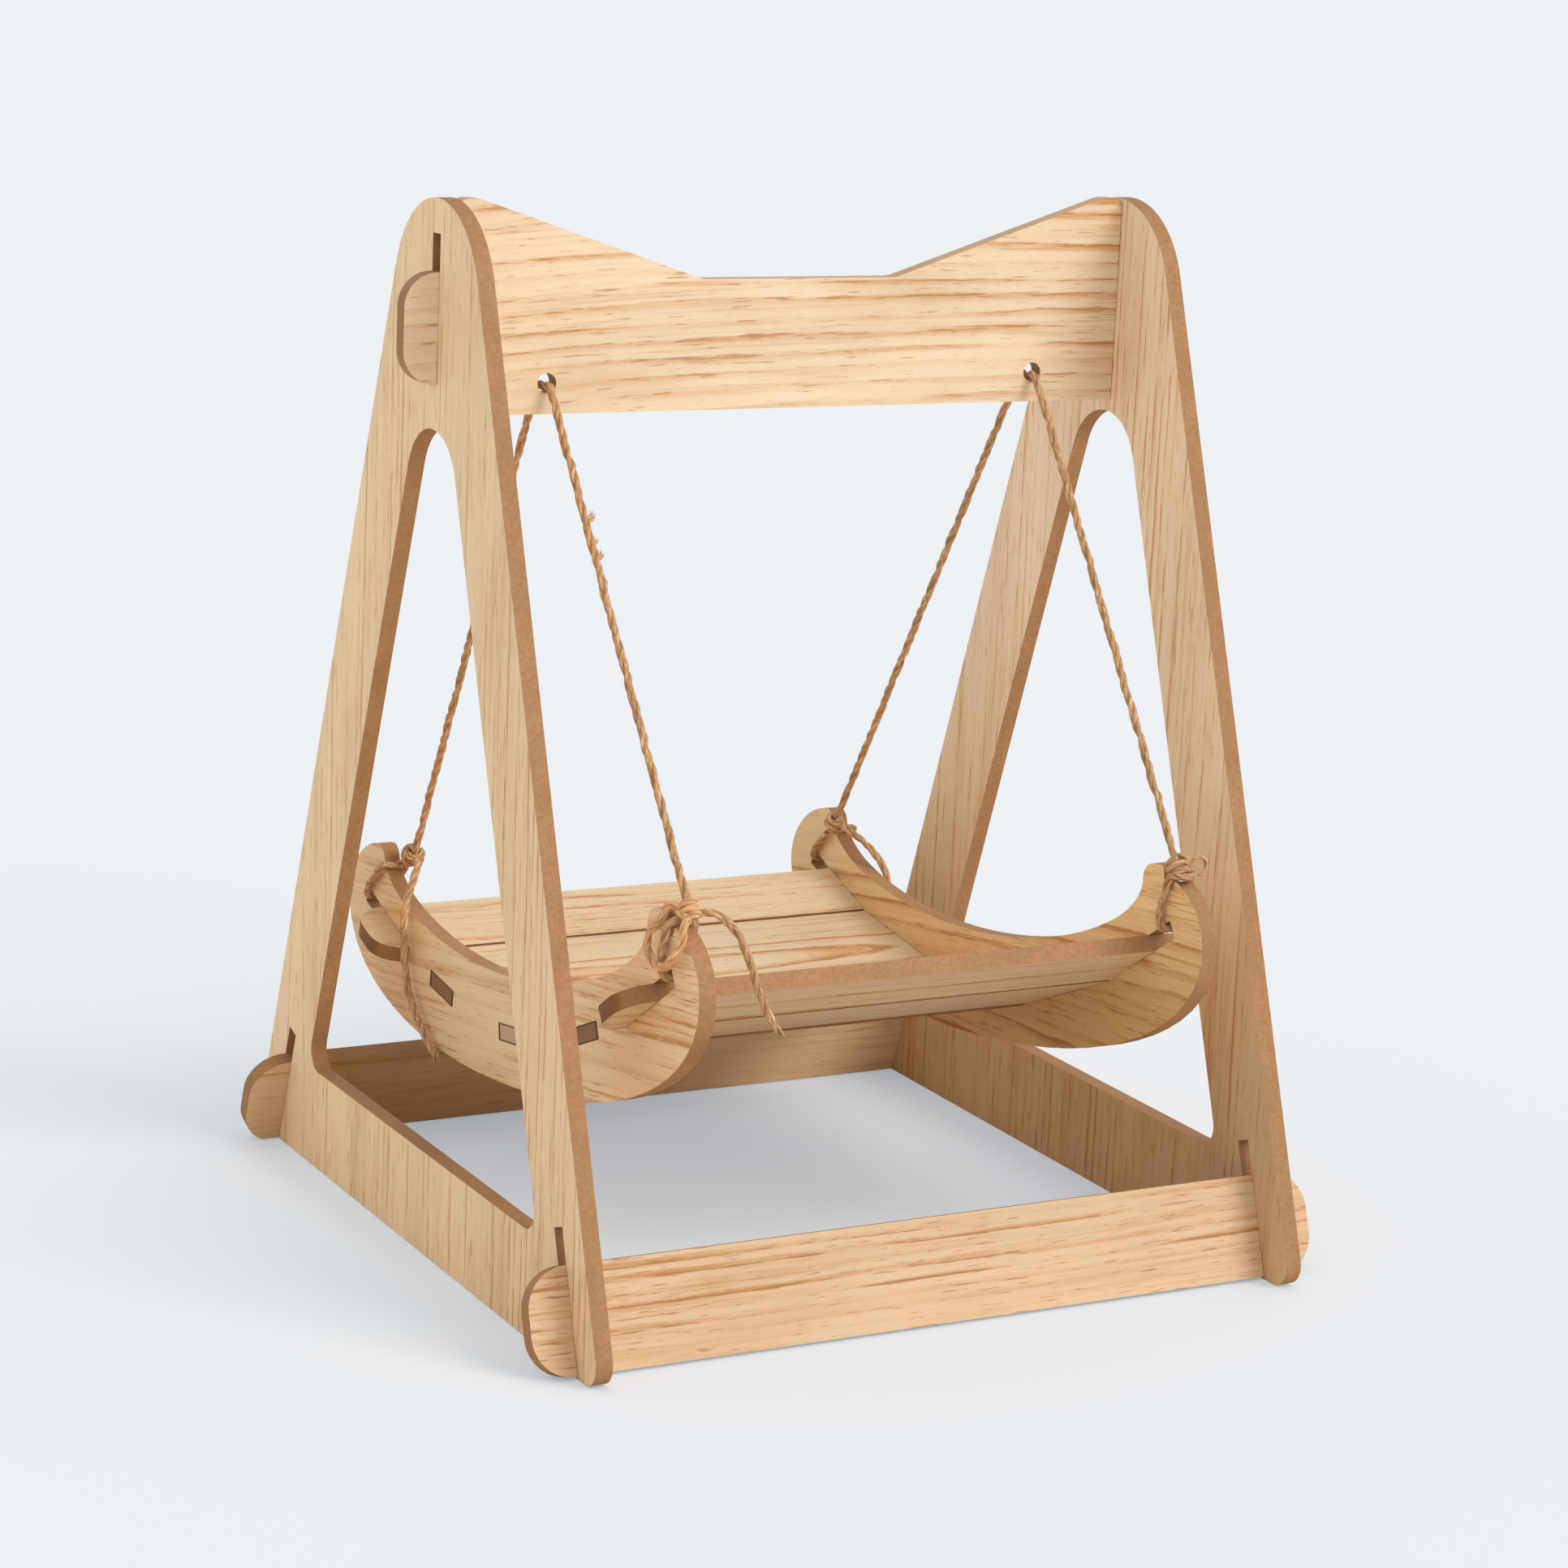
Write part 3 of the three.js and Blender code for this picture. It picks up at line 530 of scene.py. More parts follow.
def bare_edge(s, colours, grain, split, where, ended, tenon):
    """The colour of the fibreboard, where no veneer covers it, and its mottle."""
    mottle = s.noise(where.outputs["Object"], MOTTLE, 3.0, 0.6)
    cloud = s.noise(where.outputs["Object"], EDGE_CLOUD)
    colour = s.mix(s.ramp(mottle, 0.3, 0.7), colours["edge"], colours["edge_light"])
    colour = s.mix(s.ramp(cloud, 0.35, 0.7, 0.0, 0.45), colour, colours["edge_dark"])
    colour = s.toned(colour, split, grain["edge_tones"])
    colour = s.mix(s.product(s.ramp(ended, 0.8, 0.95), colours["end"]), colour, colours["end_dark"])
    if tenon:
        # A tenon's end is darkest along its outline: laser char, and painted shade of the gap to its slot
        half_width, half_thickness = tenon
        across, through = s.size(split.outputs[1]), s.size(split.outputs[2])
        out_across = s.math("DIVIDE", across, half_width)
        out_through = s.math("DIVIDE", through, half_thickness)
        char_and_gap_shade = s.math("MAXIMUM", out_across, out_through)
        within = s.math("LESS_THAN", across, half_width + TENON_PLAY)
        char_and_gap_shade = s.product(s.ramp(char_and_gap_shade, 0.84, 0.93), within, s.ramp(ended, 0.3, 0.6))
        colour = s.mix(char_and_gap_shade, colour, TENON_CHAR_AND_GAP_SHADE)
    return colour, mottle


def board_material(name, axes, centre, colours, grain, seed, tenon):
    """Veneer with its grain along the first of the board's axes, and bare fibreboard on its edges."""
    s = Shader(name)
    where = s.node("ShaderNodeTexCoord")
    turn = Matrix(axes)
    mapped = s.node("ShaderNodeMapping", {
        "Vector": where.outputs["Object"], "Location": -(turn @ centre), "Rotation": turn.to_euler(),
    }).outputs[0]
    split = s.node("ShaderNodeSeparateXYZ", {0: mapped})
    colour, roughness, height = veneer(s, colours, grain, split, mapped, seed)
    faced, ended = [s.size(s.along(where.outputs["Normal"], axes[k])) for k in (2, 0)]
    bare, mottle = bare_edge(s, colours, grain, split, where, ended, tenon)
    face = s.ramp(faced, 0.35, 0.6)
    colour = s.mix(face, bare, colour)
    roughness = s.mix_values(face, EDGE_ROUGHNESS, roughness)
    height = s.mix_values(face, mottle, height)
    return s.finish(colour, roughness, height, bump_distance=0.12 * MM, bump_strength=0.35, **{"IOR": 1.45})


# The jute's patterns, in waves per metre along a strand and around it
JUTE_FIBRE = (160, 3600, 7)
JUTE_YARN = (45, 900, 3)
JUTE_PATCH = (24, 60, 5)
FIBRE_SLANT = 0.55
JUTE_ROUGHNESS = 0.92


def jute_material(name, pale, middle, dark):
    """Twisted bast fibre: fine slanting streaks along each strand."""
    s = Shader(name)
    strand = s.node("ShaderNodeAttribute", attribute_name="strand").outputs["Vector"]
    split = s.node("ShaderNodeSeparateXYZ", {0: strand})
    around = s.total(split.outputs[1], s.product(split.outputs[0], FIBRE_SLANT))
    base = s.combined(split.outputs[0], around, split.outputs[2])
    fibre = s.noise(base, JUTE_FIBRE, 3.0, 0.6)
    yarn = s.noise(base, JUTE_YARN)
    patch = s.noise(base, JUTE_PATCH)
    colour = s.mix(s.ramp(fibre, 0.35, 0.62), dark, middle)
    colour = s.mix(s.ramp(yarn, 0.45, 0.72), colour, pale)
    # Painted shade: darker in the grooves between the strands
    outer = s.node("ShaderNodeAttribute", attribute_name="outer").outputs["Fac"]
    groove_shade = s.ramp(outer, -0.2, 0.6, 0.7, 1.0)
    tone = s.product(s.ramp(patch, 0.3, 0.7, 0.84, 1.1), groove_shade)
    colour = s.shaded(colour, tone, green=1.15, blue=1.3)
    height = s.total(s.product(fibre, 0.6), s.product(yarn, 0.4))
    return s.finish(colour, JUTE_ROUGHNESS, height, bump_distance=0.35 * MM, bump_strength=0.8, **{
        "Sheen Weight": 0.25, "Specular IOR Level": 0.2,
    })


jute = jute_material("jute", linear(242, 202, 156), linear(216, 168, 118), linear(166, 118, 74))
# A paler jute: painted light for ropes that stand in shade
jute_painted_light = jute_material("jute_painted_light", linear(255, 208, 154), linear(242, 184, 128), linear(200, 144, 92))
jute_hair = jute_material("jute_hair", linear(252, 220, 172), linear(244, 202, 152), linear(224, 176, 124))

# The ropes' routes, in millimetres: knots and lashings along the cradle's axes, saddles along the
# A-frame's. Saddles and lashings are given for the right side, and the left side mirrors them.
SIDES = {"left": -1, "right": 1}
HOLE_X, HOLE_Z = 157, 498
KNOTS = {
    ("left", "front"): (-153.5, -219.5, 95.5),
    ("left", "back"): (-147, 174.8, 85.9),
    ("right", "front"): (153.5, -219.5, 95.5),
    ("right", "back"): (147, 174.8, 85.9),
}
SADDLE = [
    (156.96, -10.8, 494.2), (156.98, -9.24, 496.28), (157, -5, 496.6), (157, 0, 495.5),
    (157, 5, 496.6), (156.96, 9.1, 496.19), (156.89, 10.41, 493.94),
]
LASHINGS = {
    "front": [
        (160.75, -218, 91.35), (164.5, -216, 88.85), (165.1, -213, 82), (165.1, -206.96, 64.94),
        (165.1, -208.31, 62.15), (164.19, -209.26, 60.18), (162, -209.65, 59.36), (157, -209.65, 59.36),
        (152, -209.65, 59.36), (149.81, -209.26, 60.18), (148.9, -208.31, 62.15), (148.9, -206.96, 64.94),
        (148.9, -213, 82), (148.9, -216, 87),
    ],
    "back": [
        (154.5, 180.9, 81.01), (157, 180.9, 81.01), (162, 180.9, 81.01), (164.19, 181.68, 80.55),
        (165.1, 183.56, 79.41), (165.1, 206.96, 64.94), (165.1, 208.31, 62.15), (164.19, 209.26, 60.18),
        (162, 209.65, 59.36), (157, 209.65, 59.36), (152, 209.65, 59.36), (149.81, 209.26, 60.18),
        (148.9, 208.31, 62.15), (148.9, 206.96, 64.94),
    ],
}

# Loose ends and loops: from the middle of their knot, along the cradle's axes
BACK_TAIL = [
    (-3, -13.3, -4), (-10, -21.8, -11.6), (-16, -27.8, -21.4), (-20.5, -31.3, -33.6),
    (-21.5, -32.6, -47.3), (-21.5, -31.6, -60.3), (-21, -34.4, -74.9), (-20.5, -44.8, -89.6),
    (-20, -57.8, -102.7), (-20, -76.9, -113.9),
]
FRONT_TAIL = [
    (9.5, -4, -1.2), (15.5, -4.5, -3.5), (25.1, -5, -13), (32.6, -5, -29.1),
    (37.1, -4.5, -43.7), (43.6, -3.5, -58.5), (51.7, -2.5, -72.1),
]
FRONT_BOW = [
    (-9, 4, 3.5), (-12.5, 8.3, -4), (-15.5, 16.5, -12), (-17, 17.5, -19), (-17, 13.1, -25.5),
    (-17.3, 2.5, -28.8), (-16, -7.5, -25.5), (-13.5, -13.3, -17.9), (-12.7, -17.2, -10.5), (-11, -16.5, -4.5),
]
FRONT_LOOP = [
    (7.6, -2.6, 2.4), (9.6, -3, 4.7), (12.4, -3.4, 5.3), (15.8, -3.6, 3.8), (17, -3.8, 0.5),
    (15.6, -4.2, -2.9), (12.2, -4.4, -4.2), (8.4, -4.4, -3),
]

# A knot's turns round the falling rope, and the pieces laid over them: out, across and up from its middle
KNOT_TURNS = 2.3
KNOT_TURN_STEPS = 10
KNOT_REACH = 4.2
KNOT_BULGE = 0.7
KNOT_LOW, KNOT_HIGH = -4.4, 4.2
KNOT_START = 0.6
KNOT_CROSSING = [(1.5, 0.5, -6), (4.6, 2.2, -4), (5.9, -1.6, 0.4), (2.6, -4.8, 3.9), (-0.8, -1.2, 5.8)]
RIGHT_FRONT_TURN = [(-5.5, -1, -4.5), (-2.5, -3, -7.2), (2, -3.2, -7.8), (6, -1, -6.5), (7, 1.5, -3.5)]

# Where a rope's end hides in its knot, as a share of the way from the knot's middle to the route
LASHING_SHARE = 0.35
LOOSE_SHARE = 0.45

# Points on each span of a route, and the distance between them on a straight fall
ROPE_SPAN = 10
FINE_SPAN = 16
FALL_STEP = 4 * MM

# The hanging ropes' fibres end this many steps before the knots
FIBRE_MARGIN = 14

# Frayed strand ends on the left front fall: how far down it they stand, and how long they are
TUFTS = ((0.256, 9 * MM), (0.303, 5 * MM), (0.331, 7.5 * MM), (0.384, 4 * MM))
TUFT_ROOT = 0.6

# The ropes of the left front knot and bow, which stand in shade, get a paler jute: painted light
ROPES_WITH_PAINTED_LIGHT = ("left_front_knot_rope", "left_front_bow_rope")

# First seeds of each kind of piece
HANGING_SEED, HANGING_FIBRES_SEED, TUFT_SEED = 11, 21, 71
LASHING_SEED, KNOT_SEED, KNOT_FIBRES_SEED = 31, 41, 51
LOOSE_SEED = 61


def mesh_piece(name, parts, material):
    vertices, faces, coordinates = [], [], []
    for part_vertices, part_faces, part_coordinates in parts:
        base = len(vertices)
        vertices.extend(tuple(map(float, v)) for v in part_vertices)
        faces.extend(tuple(base + k for k in face) for face in part_faces)
        coordinates.extend(part_coordinates)
    mesh = bpy.data.meshes.new(name)
    mesh.from_pydata(vertices, [], faces)
    mesh.polygons.foreach_set("use_smooth", [True] * len(mesh.polygons))
    coordinates = np.array(coordinates, np.float32)
    strand = mesh.attributes.new("strand", "FLOAT_VECTOR", "POINT")
    strand.data.foreach_set("vector", coordinates[:, :3].ravel())
    outer = mesh.attributes.new("outer", "FLOAT", "POINT")
    outer.data.foreach_set("value", coordinates[:, 3].copy())
    mesh.materials.append(material)
    mesh.update()
    piece = bpy.data.objects.new(name, mesh)
    bpy.context.scene.collection.objects.link(piece)
    return piece


def rope_piece(name, lines, seed, replaced, radius=ROPE_RADIUS, open_length=0):
    material = jute_painted_light if name in ROPES_WITH_PAINTED_LIGHT else jute
    parts = [rope_parts(line, radius, seed + k, open_length) for k, line in enumerate(lines)]
    piece = mesh_piece(name, parts, material)
    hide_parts(*replaced)
    return piece


def hair_piece(name, lines, seed, per_metre, radius=ROPE_RADIUS, tufts=()):
    parts = [hair_parts(line, radius, per_metre, seed + k) for k, line in enumerate(lines)]
    return mesh_piece(name, [*parts, *tufts], jute_hair)


def make_tufts(fall_top, knot):
    """The frayed ends on a front fall, which stand to the camera's right."""
    down = (knot - fall_top).normalized()
    out = RIGHT_OF_CAMERA - down * RIGHT_OF_CAMERA.dot(down)
    out.normalize()
    tufts = []
    for k, (share, size) in enumerate(TUFTS):
        root = fall_top.lerp(knot, share) + out * ROPE_RADIUS * TUFT_ROOT
        tufts.append(tuft_parts(np.array(root), np.array(out), -np.array(down), size, TUFT_SEED + k))
    return tufts


def make_hanging_rope(index, side_name, side):
    """One length from knot to knot through the crossbeam's hole, which bends at its saddle."""
    front_knot = cradle_point(*KNOTS[side_name, "front"])
    back_knot = cradle_point(*KNOTS[side_name, "back"])
    saddle = [frame_point(side * x, y, z) for x, y, z in SADDLE]
    front_fall = straight(front_knot, saddle[0], FALL_STEP)
    back_fall = straight(saddle[-1], back_knot, FALL_STEP)
    line = np.array([*front_fall[:-1], *spline(saddle, ROPE_SPAN), *back_fall[1:]])
    replaced = [f"{side_name}_rope_saddle", f"{side_name}_front_rope", f"{side_name}_back_rope"]
    name = f"{side_name}_hanging_rope"
    rope = rope_piece(name, [line], HANGING_SEED + index, replaced)
    tufts = make_tufts(saddle[0], front_knot) if side_name == "left" else []
    free = evenly(line, ROPE_STEP)[FIBRE_MARGIN:-FIBRE_MARGIN]
    hairs = hair_piece(f"{name}_fibres", [free], HANGING_FIBRES_SEED + index, HANGING_FIBRES, tufts=tufts)
    for piece in (rope, hairs):
        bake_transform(piece)


def knot_line(key, places):
    """A line round a knot, from places along three directions: outward, across and up the fall."""
    middle = cradle_point(*KNOTS[key])
    side = SIDES[key[0]]
    up = (frame_point(side * HOLE_X, 0, HOLE_Z) - middle).normalized()
    out = X * side
    out = (out - up * out.dot(up)).normalized()
    third = up.cross(out)
    return spline([middle + (out * a + third * b + up * c) * MM for a, b, c in places], FINE_SPAN)


def knot_turns(start):
    """Places on the rope's turns round the knot's axis, from an angle on."""
    places = []
    count = round(KNOT_TURNS * KNOT_TURN_STEPS)
    for i in range(count + 1):
        t = i / count
        angle = start + 2 * math.pi * KNOT_TURNS * t
        reach = KNOT_REACH + KNOT_BULGE * math.sin(math.pi * t)
        height = KNOT_LOW + (KNOT_HIGH - KNOT_LOW) * t
        places.append((reach * math.cos(angle), reach * math.sin(angle), height))
    return places


def make_knot(index, key):
    """A knot, and the lashing that holds it to the crescent and the hook slat."""
    side_name, end_name = key
    middle = cradle_point(*KNOTS[key])
    lashing = [cradle_point(SIDES[side_name] * x, y, z) for x, y, z in LASHINGS[end_name]]
    ends = [middle.lerp(lashing[k], LASHING_SHARE) for k in (0, -1)]
    lashing_line = spline([ends[0], *lashing, ends[1]], ROPE_SPAN)
    node = f"{side_name}_{end_name}_lashing"
    lashing_rope = rope_piece(f"{node}_rope", [lashing_line], LASHING_SEED + index, [node])
    strands = [knot_line(key, knot_turns(KNOT_START + index)), knot_line(key, KNOT_CROSSING)]
    if key == ("right", "front"):
        strands.append(knot_line(key, RIGHT_FRONT_TURN))
    node = f"{side_name}_{end_name}_knot"
    knot = rope_piece(f"{node}_rope", strands, KNOT_SEED + index, [node], KNOT_ROPE_RADIUS)
    hairs = hair_piece(f"{node}_fibres", [*strands, lashing_line], KNOT_FIBRES_SEED + index, KNOT_FIBRES)
    for piece in (lashing_rope, knot, hairs):
        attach(piece, "cradle")


def make_loose(name, key, route, node, seed, mirror=1, tail=True, radius=ROPE_RADIUS):
    """A tail with an open end, or a loop that comes back to its knot."""
    x0, y0, z0 = KNOTS[key]
    middle = cradle_point(x0, y0, z0)
    points = [cradle_point(x0 + mirror * x, y0 + y, z0 + z) for x, y, z in route]
    start = middle.lerp(points[0], LOOSE_SHARE)
    if not tail:
        points.append(middle.lerp(points[-1], LOOSE_SHARE))
    line = spline([start, *points], FINE_SPAN)
    rope = rope_piece(name, [line], seed, [node], radius, OPEN_LENGTH if tail else 0)
    hairs = hair_piece(f"{name}_fibres", [line], seed + 1, LOOSE_FIBRES, radius)
    for piece in (rope, hairs):
        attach(piece, "cradle")


for index, (side_name, side) in enumerate(SIDES.items()):
    make_hanging_rope(index, side_name, side)
for index, key in enumerate(KNOTS):
    make_knot(index, key)
make_loose("left_back_tail_rope", ("left", "back"), BACK_TAIL, "left_back_tail", LOOSE_SEED)
make_loose("right_back_tail_rope", ("right", "back"), BACK_TAIL, "right_back_tail", LOOSE_SEED + 2, -1)
make_loose("left_front_tail_rope", ("left", "front"), FRONT_TAIL, "left_front_tail", LOOSE_SEED + 4)
make_loose("left_front_bow_rope", ("left", "front"), FRONT_BOW, "left_front_bow", LOOSE_SEED + 6, tail=False)
make_loose("right_front_loop_strand", ("right", "front"), FRONT_LOOP, "right_front_loop", LOOSE_SEED + 8,
           tail=False, radius=LOOP_RADIUS)

# Boards: their colours
EDGE = {
    "edge": linear(168, 121, 76), "edge_light": linear(184, 136, 92), "edge_dark": linear(150, 104, 64),
    "end": 0.3, "end_dark": linear(140, 98, 60),
}
TOP_EDGE = {
    "edge": linear(196, 156, 118), "edge_light": linear(206, 168, 130), "edge_dark": linear(184, 142, 104),
}
PANEL = {
    **EDGE, "light": linear(245, 215, 172), "band": linear(222, 164, 100), "pore": linear(198, 134, 74),
}
RIGHT_PANEL = {**PANEL, "light": linear(244, 220, 186)}
BEAM = {
    **EDGE, **TOP_EDGE,
    "light": linear(240, 218, 185), "band": linear(216, 164, 106), "pore": linear(190, 124, 66),
}
RAIL = {
    **EDGE, "light": linear(225, 190, 150), "band": linear(198, 144, 84), "pore": linear(170, 108, 54),
}
CRADLE = {
    **EDGE, "light": linear(243, 205, 150), "band": linear(216, 158, 94), "pore": linear(178, 108, 52),
    "end": 0.75, "end_dark": linear(128, 94, 64),
}
LEFT_CRESCENT = {
    **CRADLE, "light": linear(250, 219, 173), "band": linear(216, 152, 84), "pore": linear(188, 118, 60),
    "end": 0.1,
}
RIGHT_CRESCENT = {**CRADLE, "end": 0.1}
SLAT = {**CRADLE, "light": linear(229, 203, 162)}
BOTTOM_SLAT = {**SLAT, "end_dark": linear(204, 180, 150)}

# Boards: their grain. The growth rings lie round a line that passes the board's middle at a centre
# across it and a depth behind it, and draws away by its slope. Wave and uneven say how far the rings
# wander, and bands, streaks and pores how strongly these show. Dense gives the change of that along
# the board and across it, and its mean. Tones are placed in metres from the board's middle.
# The veneer's tones are painted shade and light, which follow how the light falls on each board.
GRAIN = {
    "wave": 0.022, "uneven": 0.8, "bands": 0.75, "streaks": 0.6, "pores": 0.7, "dense": (0, 0, 1),
    "tones": (), "edge_tones": (),
}
STRAIGHT = {
    "centre": 0.19, "depth": 0.02, "slope": 0.05, "spacing": 0.0075, "wave": 0.012,
    "bands": 0.26, "streaks": 0.48, "pores": 0.7, "dense": (0, 0, 1.15),
}
WIDE = {"centre": -0.015, "depth": 0.004, "slope": 0.16, "spacing": 0.0125}
CURVED = {
    "spacing": 0.0125, "wave": 0.011, "bands": 0.9, "streaks": 0.9, "pores": 0.6, "dense": (-0.5, 0, 1.0),
}
CRESCENT_GRAIN_TILT = math.radians(-1)
TENON = (17.5 * MM, 5 * MM)


def slope_axes(angle):
    """Up a slope of the cradle, and the direction that stands on it."""
    slope, rise = math.cos(angle), math.sin(angle)
    return cradle_direction(slope, rise), cradle_direction(-rise, slope)


def slat_axes(angle):
    return X, *slope_axes(angle)


def rail_axes(end):
    up = Vector((0, -end * math.sin(LEG_LEAN), math.cos(LEG_LEAN)))
    return X, up, X.cross(up)


PANEL_AXES = (Z, Y, -X)
BEAM_AXES = (X, Z, -Y)
CRESCENT_AXES = (*slope_axes(CRESCENT_GRAIN_TILT), X)

# Each board's axes run along its grain, across it and out of its face
BOARDS = {
    "left_side_panel": (PANEL_AXES, PANEL, {
        # Painted light: the left panel a little lighter towards its top
        **STRAIGHT, "tones": [Tone(ALONG, -0.15, 0.2, 1.0, 1.02)],
    }),
    "right_side_panel": (PANEL_AXES, RIGHT_PANEL, {
        # Painted shade: the right panel darker towards its foot, where the cradle shades it
        **STRAIGHT, "centre": -0.24, "slope": 0.07, "tones": [Tone(ALONG, -0.25, 0.04, 0.76, 1.02)],
    }),
    "top_crossbeam": (BEAM_AXES, BEAM, {
        "centre": -0.16, "depth": 0.03, "slope": -0.16, "spacing": 0.0095, "wave": 0.014, "uneven": 0.6,
        # Painted shade: the beam darker towards its right end, by the right panel
        "bands": 0.95, "dense": (1.4, 5, 1.05), "tones": [Tone(ALONG, 0.13, 0.23, 1.0, 0.92)],
        "edge_tones": [Tone(ALONG, -0.216, -0.208, 0.74, 1.0), Tone(ALONG, 0.208, 0.216, 1.0, 0.74)],
    }),
    "front_rail": (rail_axes(-1), RAIL, {
        "centre": 0.12, "depth": 0.01, "slope": 0.03, "spacing": 0.0068, "wave": 0.007, "uneven": 0.5,
        "bands": 1.0, "pores": 0.75, "dense": (-0.6, 7, 1.1),
    }),
    "back_rail": (rail_axes(1), RAIL, {
        "centre": -0.12, "depth": 0.02, "slope": -0.06, "spacing": 0.0085, "wave": 0.01,
        "bands": 0.6, "pores": 0.5,
        # Painted shade: the back rail darker towards its left end, under the cradle and the left panel;
        # painted light lifts its stub past the panel again
        "tones": [Tone(ALONG, -0.19, 0.04, 0.76, 1.09), Tone(ALONG, -0.206, -0.2, 1.28, 1.0)],
    }),
    "left_crescent_end": (CRESCENT_AXES, LEFT_CRESCENT, {
        # Painted shade: the left crescent darker towards its back end
        **CURVED, "centre": 0.13, "depth": 0.03, "slope": 0.10, "tones": [Tone(ALONG, 0.06, 0.2, 1.0, 0.91)],
    }),
    "right_crescent_end": (CRESCENT_AXES, RIGHT_CRESCENT, {
        **CURVED, "centre": -0.09, "depth": 0.02, "slope": -0.09,
        # Painted shade: the right crescent darker towards its lower edge, where the seat shades it
        "tones": [Tone(ACROSS, -0.045, 0.01, 0.87, 1.02)],
    }),
    "bottom_slat": (slat_axes(0), BOTTOM_SLAT, {**WIDE, "centre": 0.02}),
    "back_lower_slat": (slat_axes(LOWER_SLAT_TILT), SLAT, {**WIDE, "slope": 0.08}),
    "front_lower_slat": (slat_axes(-LOWER_SLAT_TILT), SLAT, {**WIDE, "slope": -0.07}),
    "back_hook_slat": (slat_axes(HOOK_SLAT_TILT), SLAT, {**WIDE, "centre": 0.04, "slope": 0.06}),
    "front_hook_slat": (slat_axes(-HOOK_SLAT_TILT), SLAT, {**WIDE, "centre": 0.05, "slope": 0.05}),
}
FIRST_BOARD_SEED, BOARD_SEED_STEP = 3, 2
PLAIN_TENONS = ("bottom_slat", "back_lower_slat", "front_lower_slat")
WELD_DISTANCE = 1e-6
EDGE_ROUNDING = 0.45 * MM
ROUNDING_SEGMENTS = 2
SHARP_ANGLE = math.radians(38)


def smoothing_group():
    """Smooth shading over the facets of a curved edge, and sharp at the corners."""
    group = bpy.data.node_groups.new("smooth_by_angle", "GeometryNodeTree")
    group.interface.new_socket("Geometry", in_out="INPUT", socket_type="NodeSocketGeometry")
    group.interface.new_socket("Geometry", in_out="OUTPUT", socket_type="NodeSocketGeometry")
    start = group.nodes.new("NodeGroupInput")
    end = group.nodes.new("NodeGroupOutput")
    smooth = group.nodes.new("GeometryNodeSetShadeSmooth")
    sharp = group.nodes.new("GeometryNodeSetShadeSmooth")
    sharp.domain = "EDGE"
    sharp.inputs["Shade Smooth"].default_value = False
    angle = group.nodes.new("GeometryNodeInputMeshEdgeAngle")
    over = group.nodes.new("FunctionNodeCompare")
    over.operation = "GREATER_THAN"
    over.inputs[1].default_value = SHARP_ANGLE
    links = group.links
    links.new(start.outputs[0], smooth.inputs[0])
    links.new(smooth.outputs[0], sharp.inputs[0])
    links.new(angle.outputs["Unsigned Angle"], over.inputs[0])
    links.new(over.outputs[0], sharp.inputs["Selection"])
    links.new(sharp.outputs[0], end.inputs[0])
    return group


smooth_by_angle = smoothing_group()


def soften(board):
    """Slightly rounded edges, as sanding leaves them."""
    stored = board.data.attributes.get("custom_normal")
    if stored:
        board.data.attributes.remove(stored)
    weld = board.modifiers.new("weld", "WELD")
    weld.merge_threshold = WELD_DISTANCE
    bevel = board.modifiers.new("rounding", "BEVEL")
    bevel.width = EDGE_ROUNDING
    bevel.segments = ROUNDING_SEGMENTS
    bevel.limit_method = "ANGLE"
    bevel.angle_limit = SHARP_ANGLE
    smooth = board.modifiers.new("smooth", "NODES")
    smooth.node_group = smooth_by_angle
    weighted = board.modifiers.new("weighted", "WEIGHTED_NORMAL")
    weighted.keep_sharp = True


for index, (name, (axes, colours, grain)) in enumerate(BOARDS.items()):
    low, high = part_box(name)
    seed = FIRST_BOARD_SEED + BOARD_SEED_STEP * index
    tenon = TENON if name in PLAIN_TENONS else None
    grain = {**GRAIN, **grain}
    material = board_material(f"{name}_wood", axes, (low + high) / 2, colours, grain, seed, tenon)
    board = nodes[name]
    board.data.materials.clear()
    board.data.materials.append(material)
    soften(board)

# Floor, light and background
BACKGROUND = linear(236.5, 240, 243.5)
FLOOR_BOUNCE = (0.80, 0.75, 0.67, 1)
FLOOR_SHADED = (0.98, 0.909, 0.87, 1)
FLOOR_GLOW = (0.625, 0.81, 0.945, 1)
FLOOR_GLOW_SHARE = 0.4
FLOOR_FINISH = {"Roughness": 0.9, "Specular IOR Level": 0.0}
FLOOR_HALF = 60
FLOOR_LEVEL = -0.2 * MM
WORLD_LIGHT = (0.97, 0.985, 1, 1)
WORLD_STRENGTH = 0.76
KEY_TOWARDS = Vector((-0.20, 0.30, -0.27))
KEY_STRENGTH = 1.45
KEY_SPREAD = math.radians(34)
KEY_COLOUR = (1.0, 0.985, 0.96)


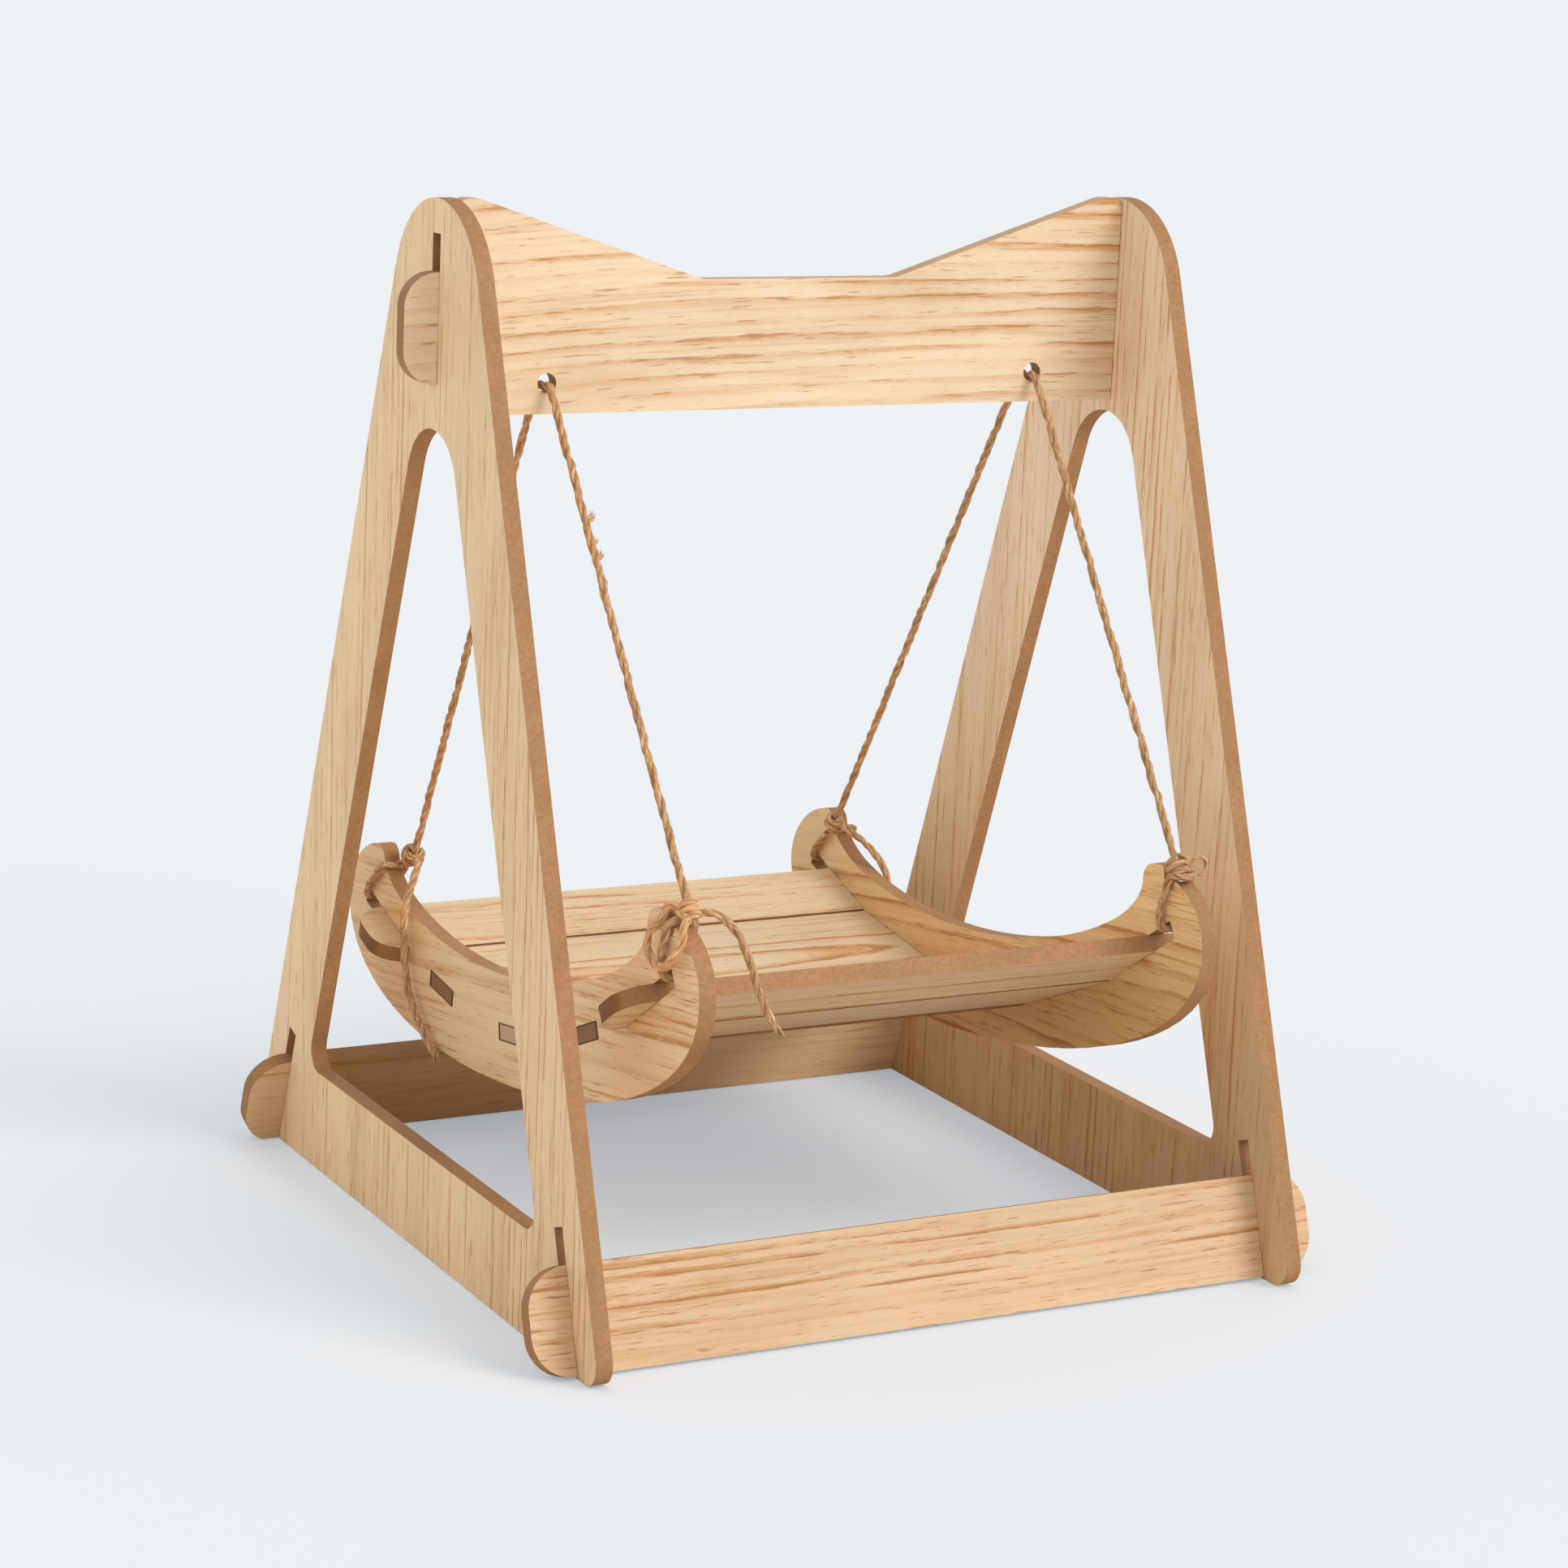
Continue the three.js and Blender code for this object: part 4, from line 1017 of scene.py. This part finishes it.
def make_floor():
    # The camera sees a paler and cooler shadow than the boards do
    s = Shader("floor")
    plain, shaded = [
        s.node("ShaderNodeBsdfPrincipled", {"Base Color": colour, **FLOOR_FINISH})
        for colour in (FLOOR_BOUNCE, FLOOR_SHADED)
    ]
    glow = s.node("ShaderNodeEmission", {"Color": FLOOR_GLOW, "Strength": 1.0})
    seen = s.node("ShaderNodeMixShader", {0: FLOOR_GLOW_SHARE, 1: shaded.outputs[0], 2: glow.outputs[0]})
    camera = s.node("ShaderNodeLightPath").outputs["Is Camera Ray"]
    mixed = s.node("ShaderNodeMixShader", {0: camera, 1: plain.outputs[0], 2: seen.outputs[0]})
    s.tree.links.new(mixed.outputs[0], s.output.inputs["Surface"])
    corners = [
        (x * FLOOR_HALF, y * FLOOR_HALF, FLOOR_LEVEL) for x, y in ((-1, -1), (1, -1), (1, 1), (-1, 1))
    ]
    mesh = bpy.data.meshes.new("floor")
    mesh.from_pydata(corners, [], [(0, 1, 2, 3)])
    mesh.materials.append(s.material)
    floor = bpy.data.objects.new("floor", mesh)
    bpy.context.scene.collection.objects.link(floor)
    floor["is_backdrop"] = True


def make_world():
    world = bpy.data.worlds.new("world")
    bpy.context.scene.world = world
    world.use_nodes = True
    tree = world.node_tree
    tree.nodes.clear()
    output = tree.nodes.new("ShaderNodeOutputWorld")
    light = tree.nodes.new("ShaderNodeBackground")
    light.inputs["Color"].default_value = WORLD_LIGHT
    light.inputs["Strength"].default_value = WORLD_STRENGTH
    seen = tree.nodes.new("ShaderNodeBackground")
    seen.inputs["Color"].default_value = BACKGROUND
    path = tree.nodes.new("ShaderNodeLightPath")
    rays = path.outputs["Is Camera Ray"]
    for other in ("Is Glossy Ray", "Is Transmission Ray"):
        both = tree.nodes.new("ShaderNodeMath")
        both.operation = "MAXIMUM"
        tree.links.new(rays, both.inputs[0])
        tree.links.new(path.outputs[other], both.inputs[1])
        rays = both.outputs[0]
    mix = tree.nodes.new("ShaderNodeMixShader")
    tree.links.new(rays, mix.inputs[0])
    tree.links.new(light.outputs[0], mix.inputs[1])
    tree.links.new(seen.outputs[0], mix.inputs[2])
    tree.links.new(mix.outputs[0], output.inputs["Surface"])


def make_key_light():
    data = bpy.data.lights.new("key", "SUN")
    data.energy = KEY_STRENGTH
    data.angle = KEY_SPREAD
    data.color = KEY_COLOUR
    sun = bpy.data.objects.new("key", data)
    bpy.context.scene.collection.objects.link(sun)
    sun.rotation_mode = "QUATERNION"
    sun.rotation_quaternion = KEY_TOWARDS.to_track_quat("-Z", "Y")


make_floor()
make_world()
make_key_light()

bpy.context.scene.view_settings.view_transform = "Standard"

low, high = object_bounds()
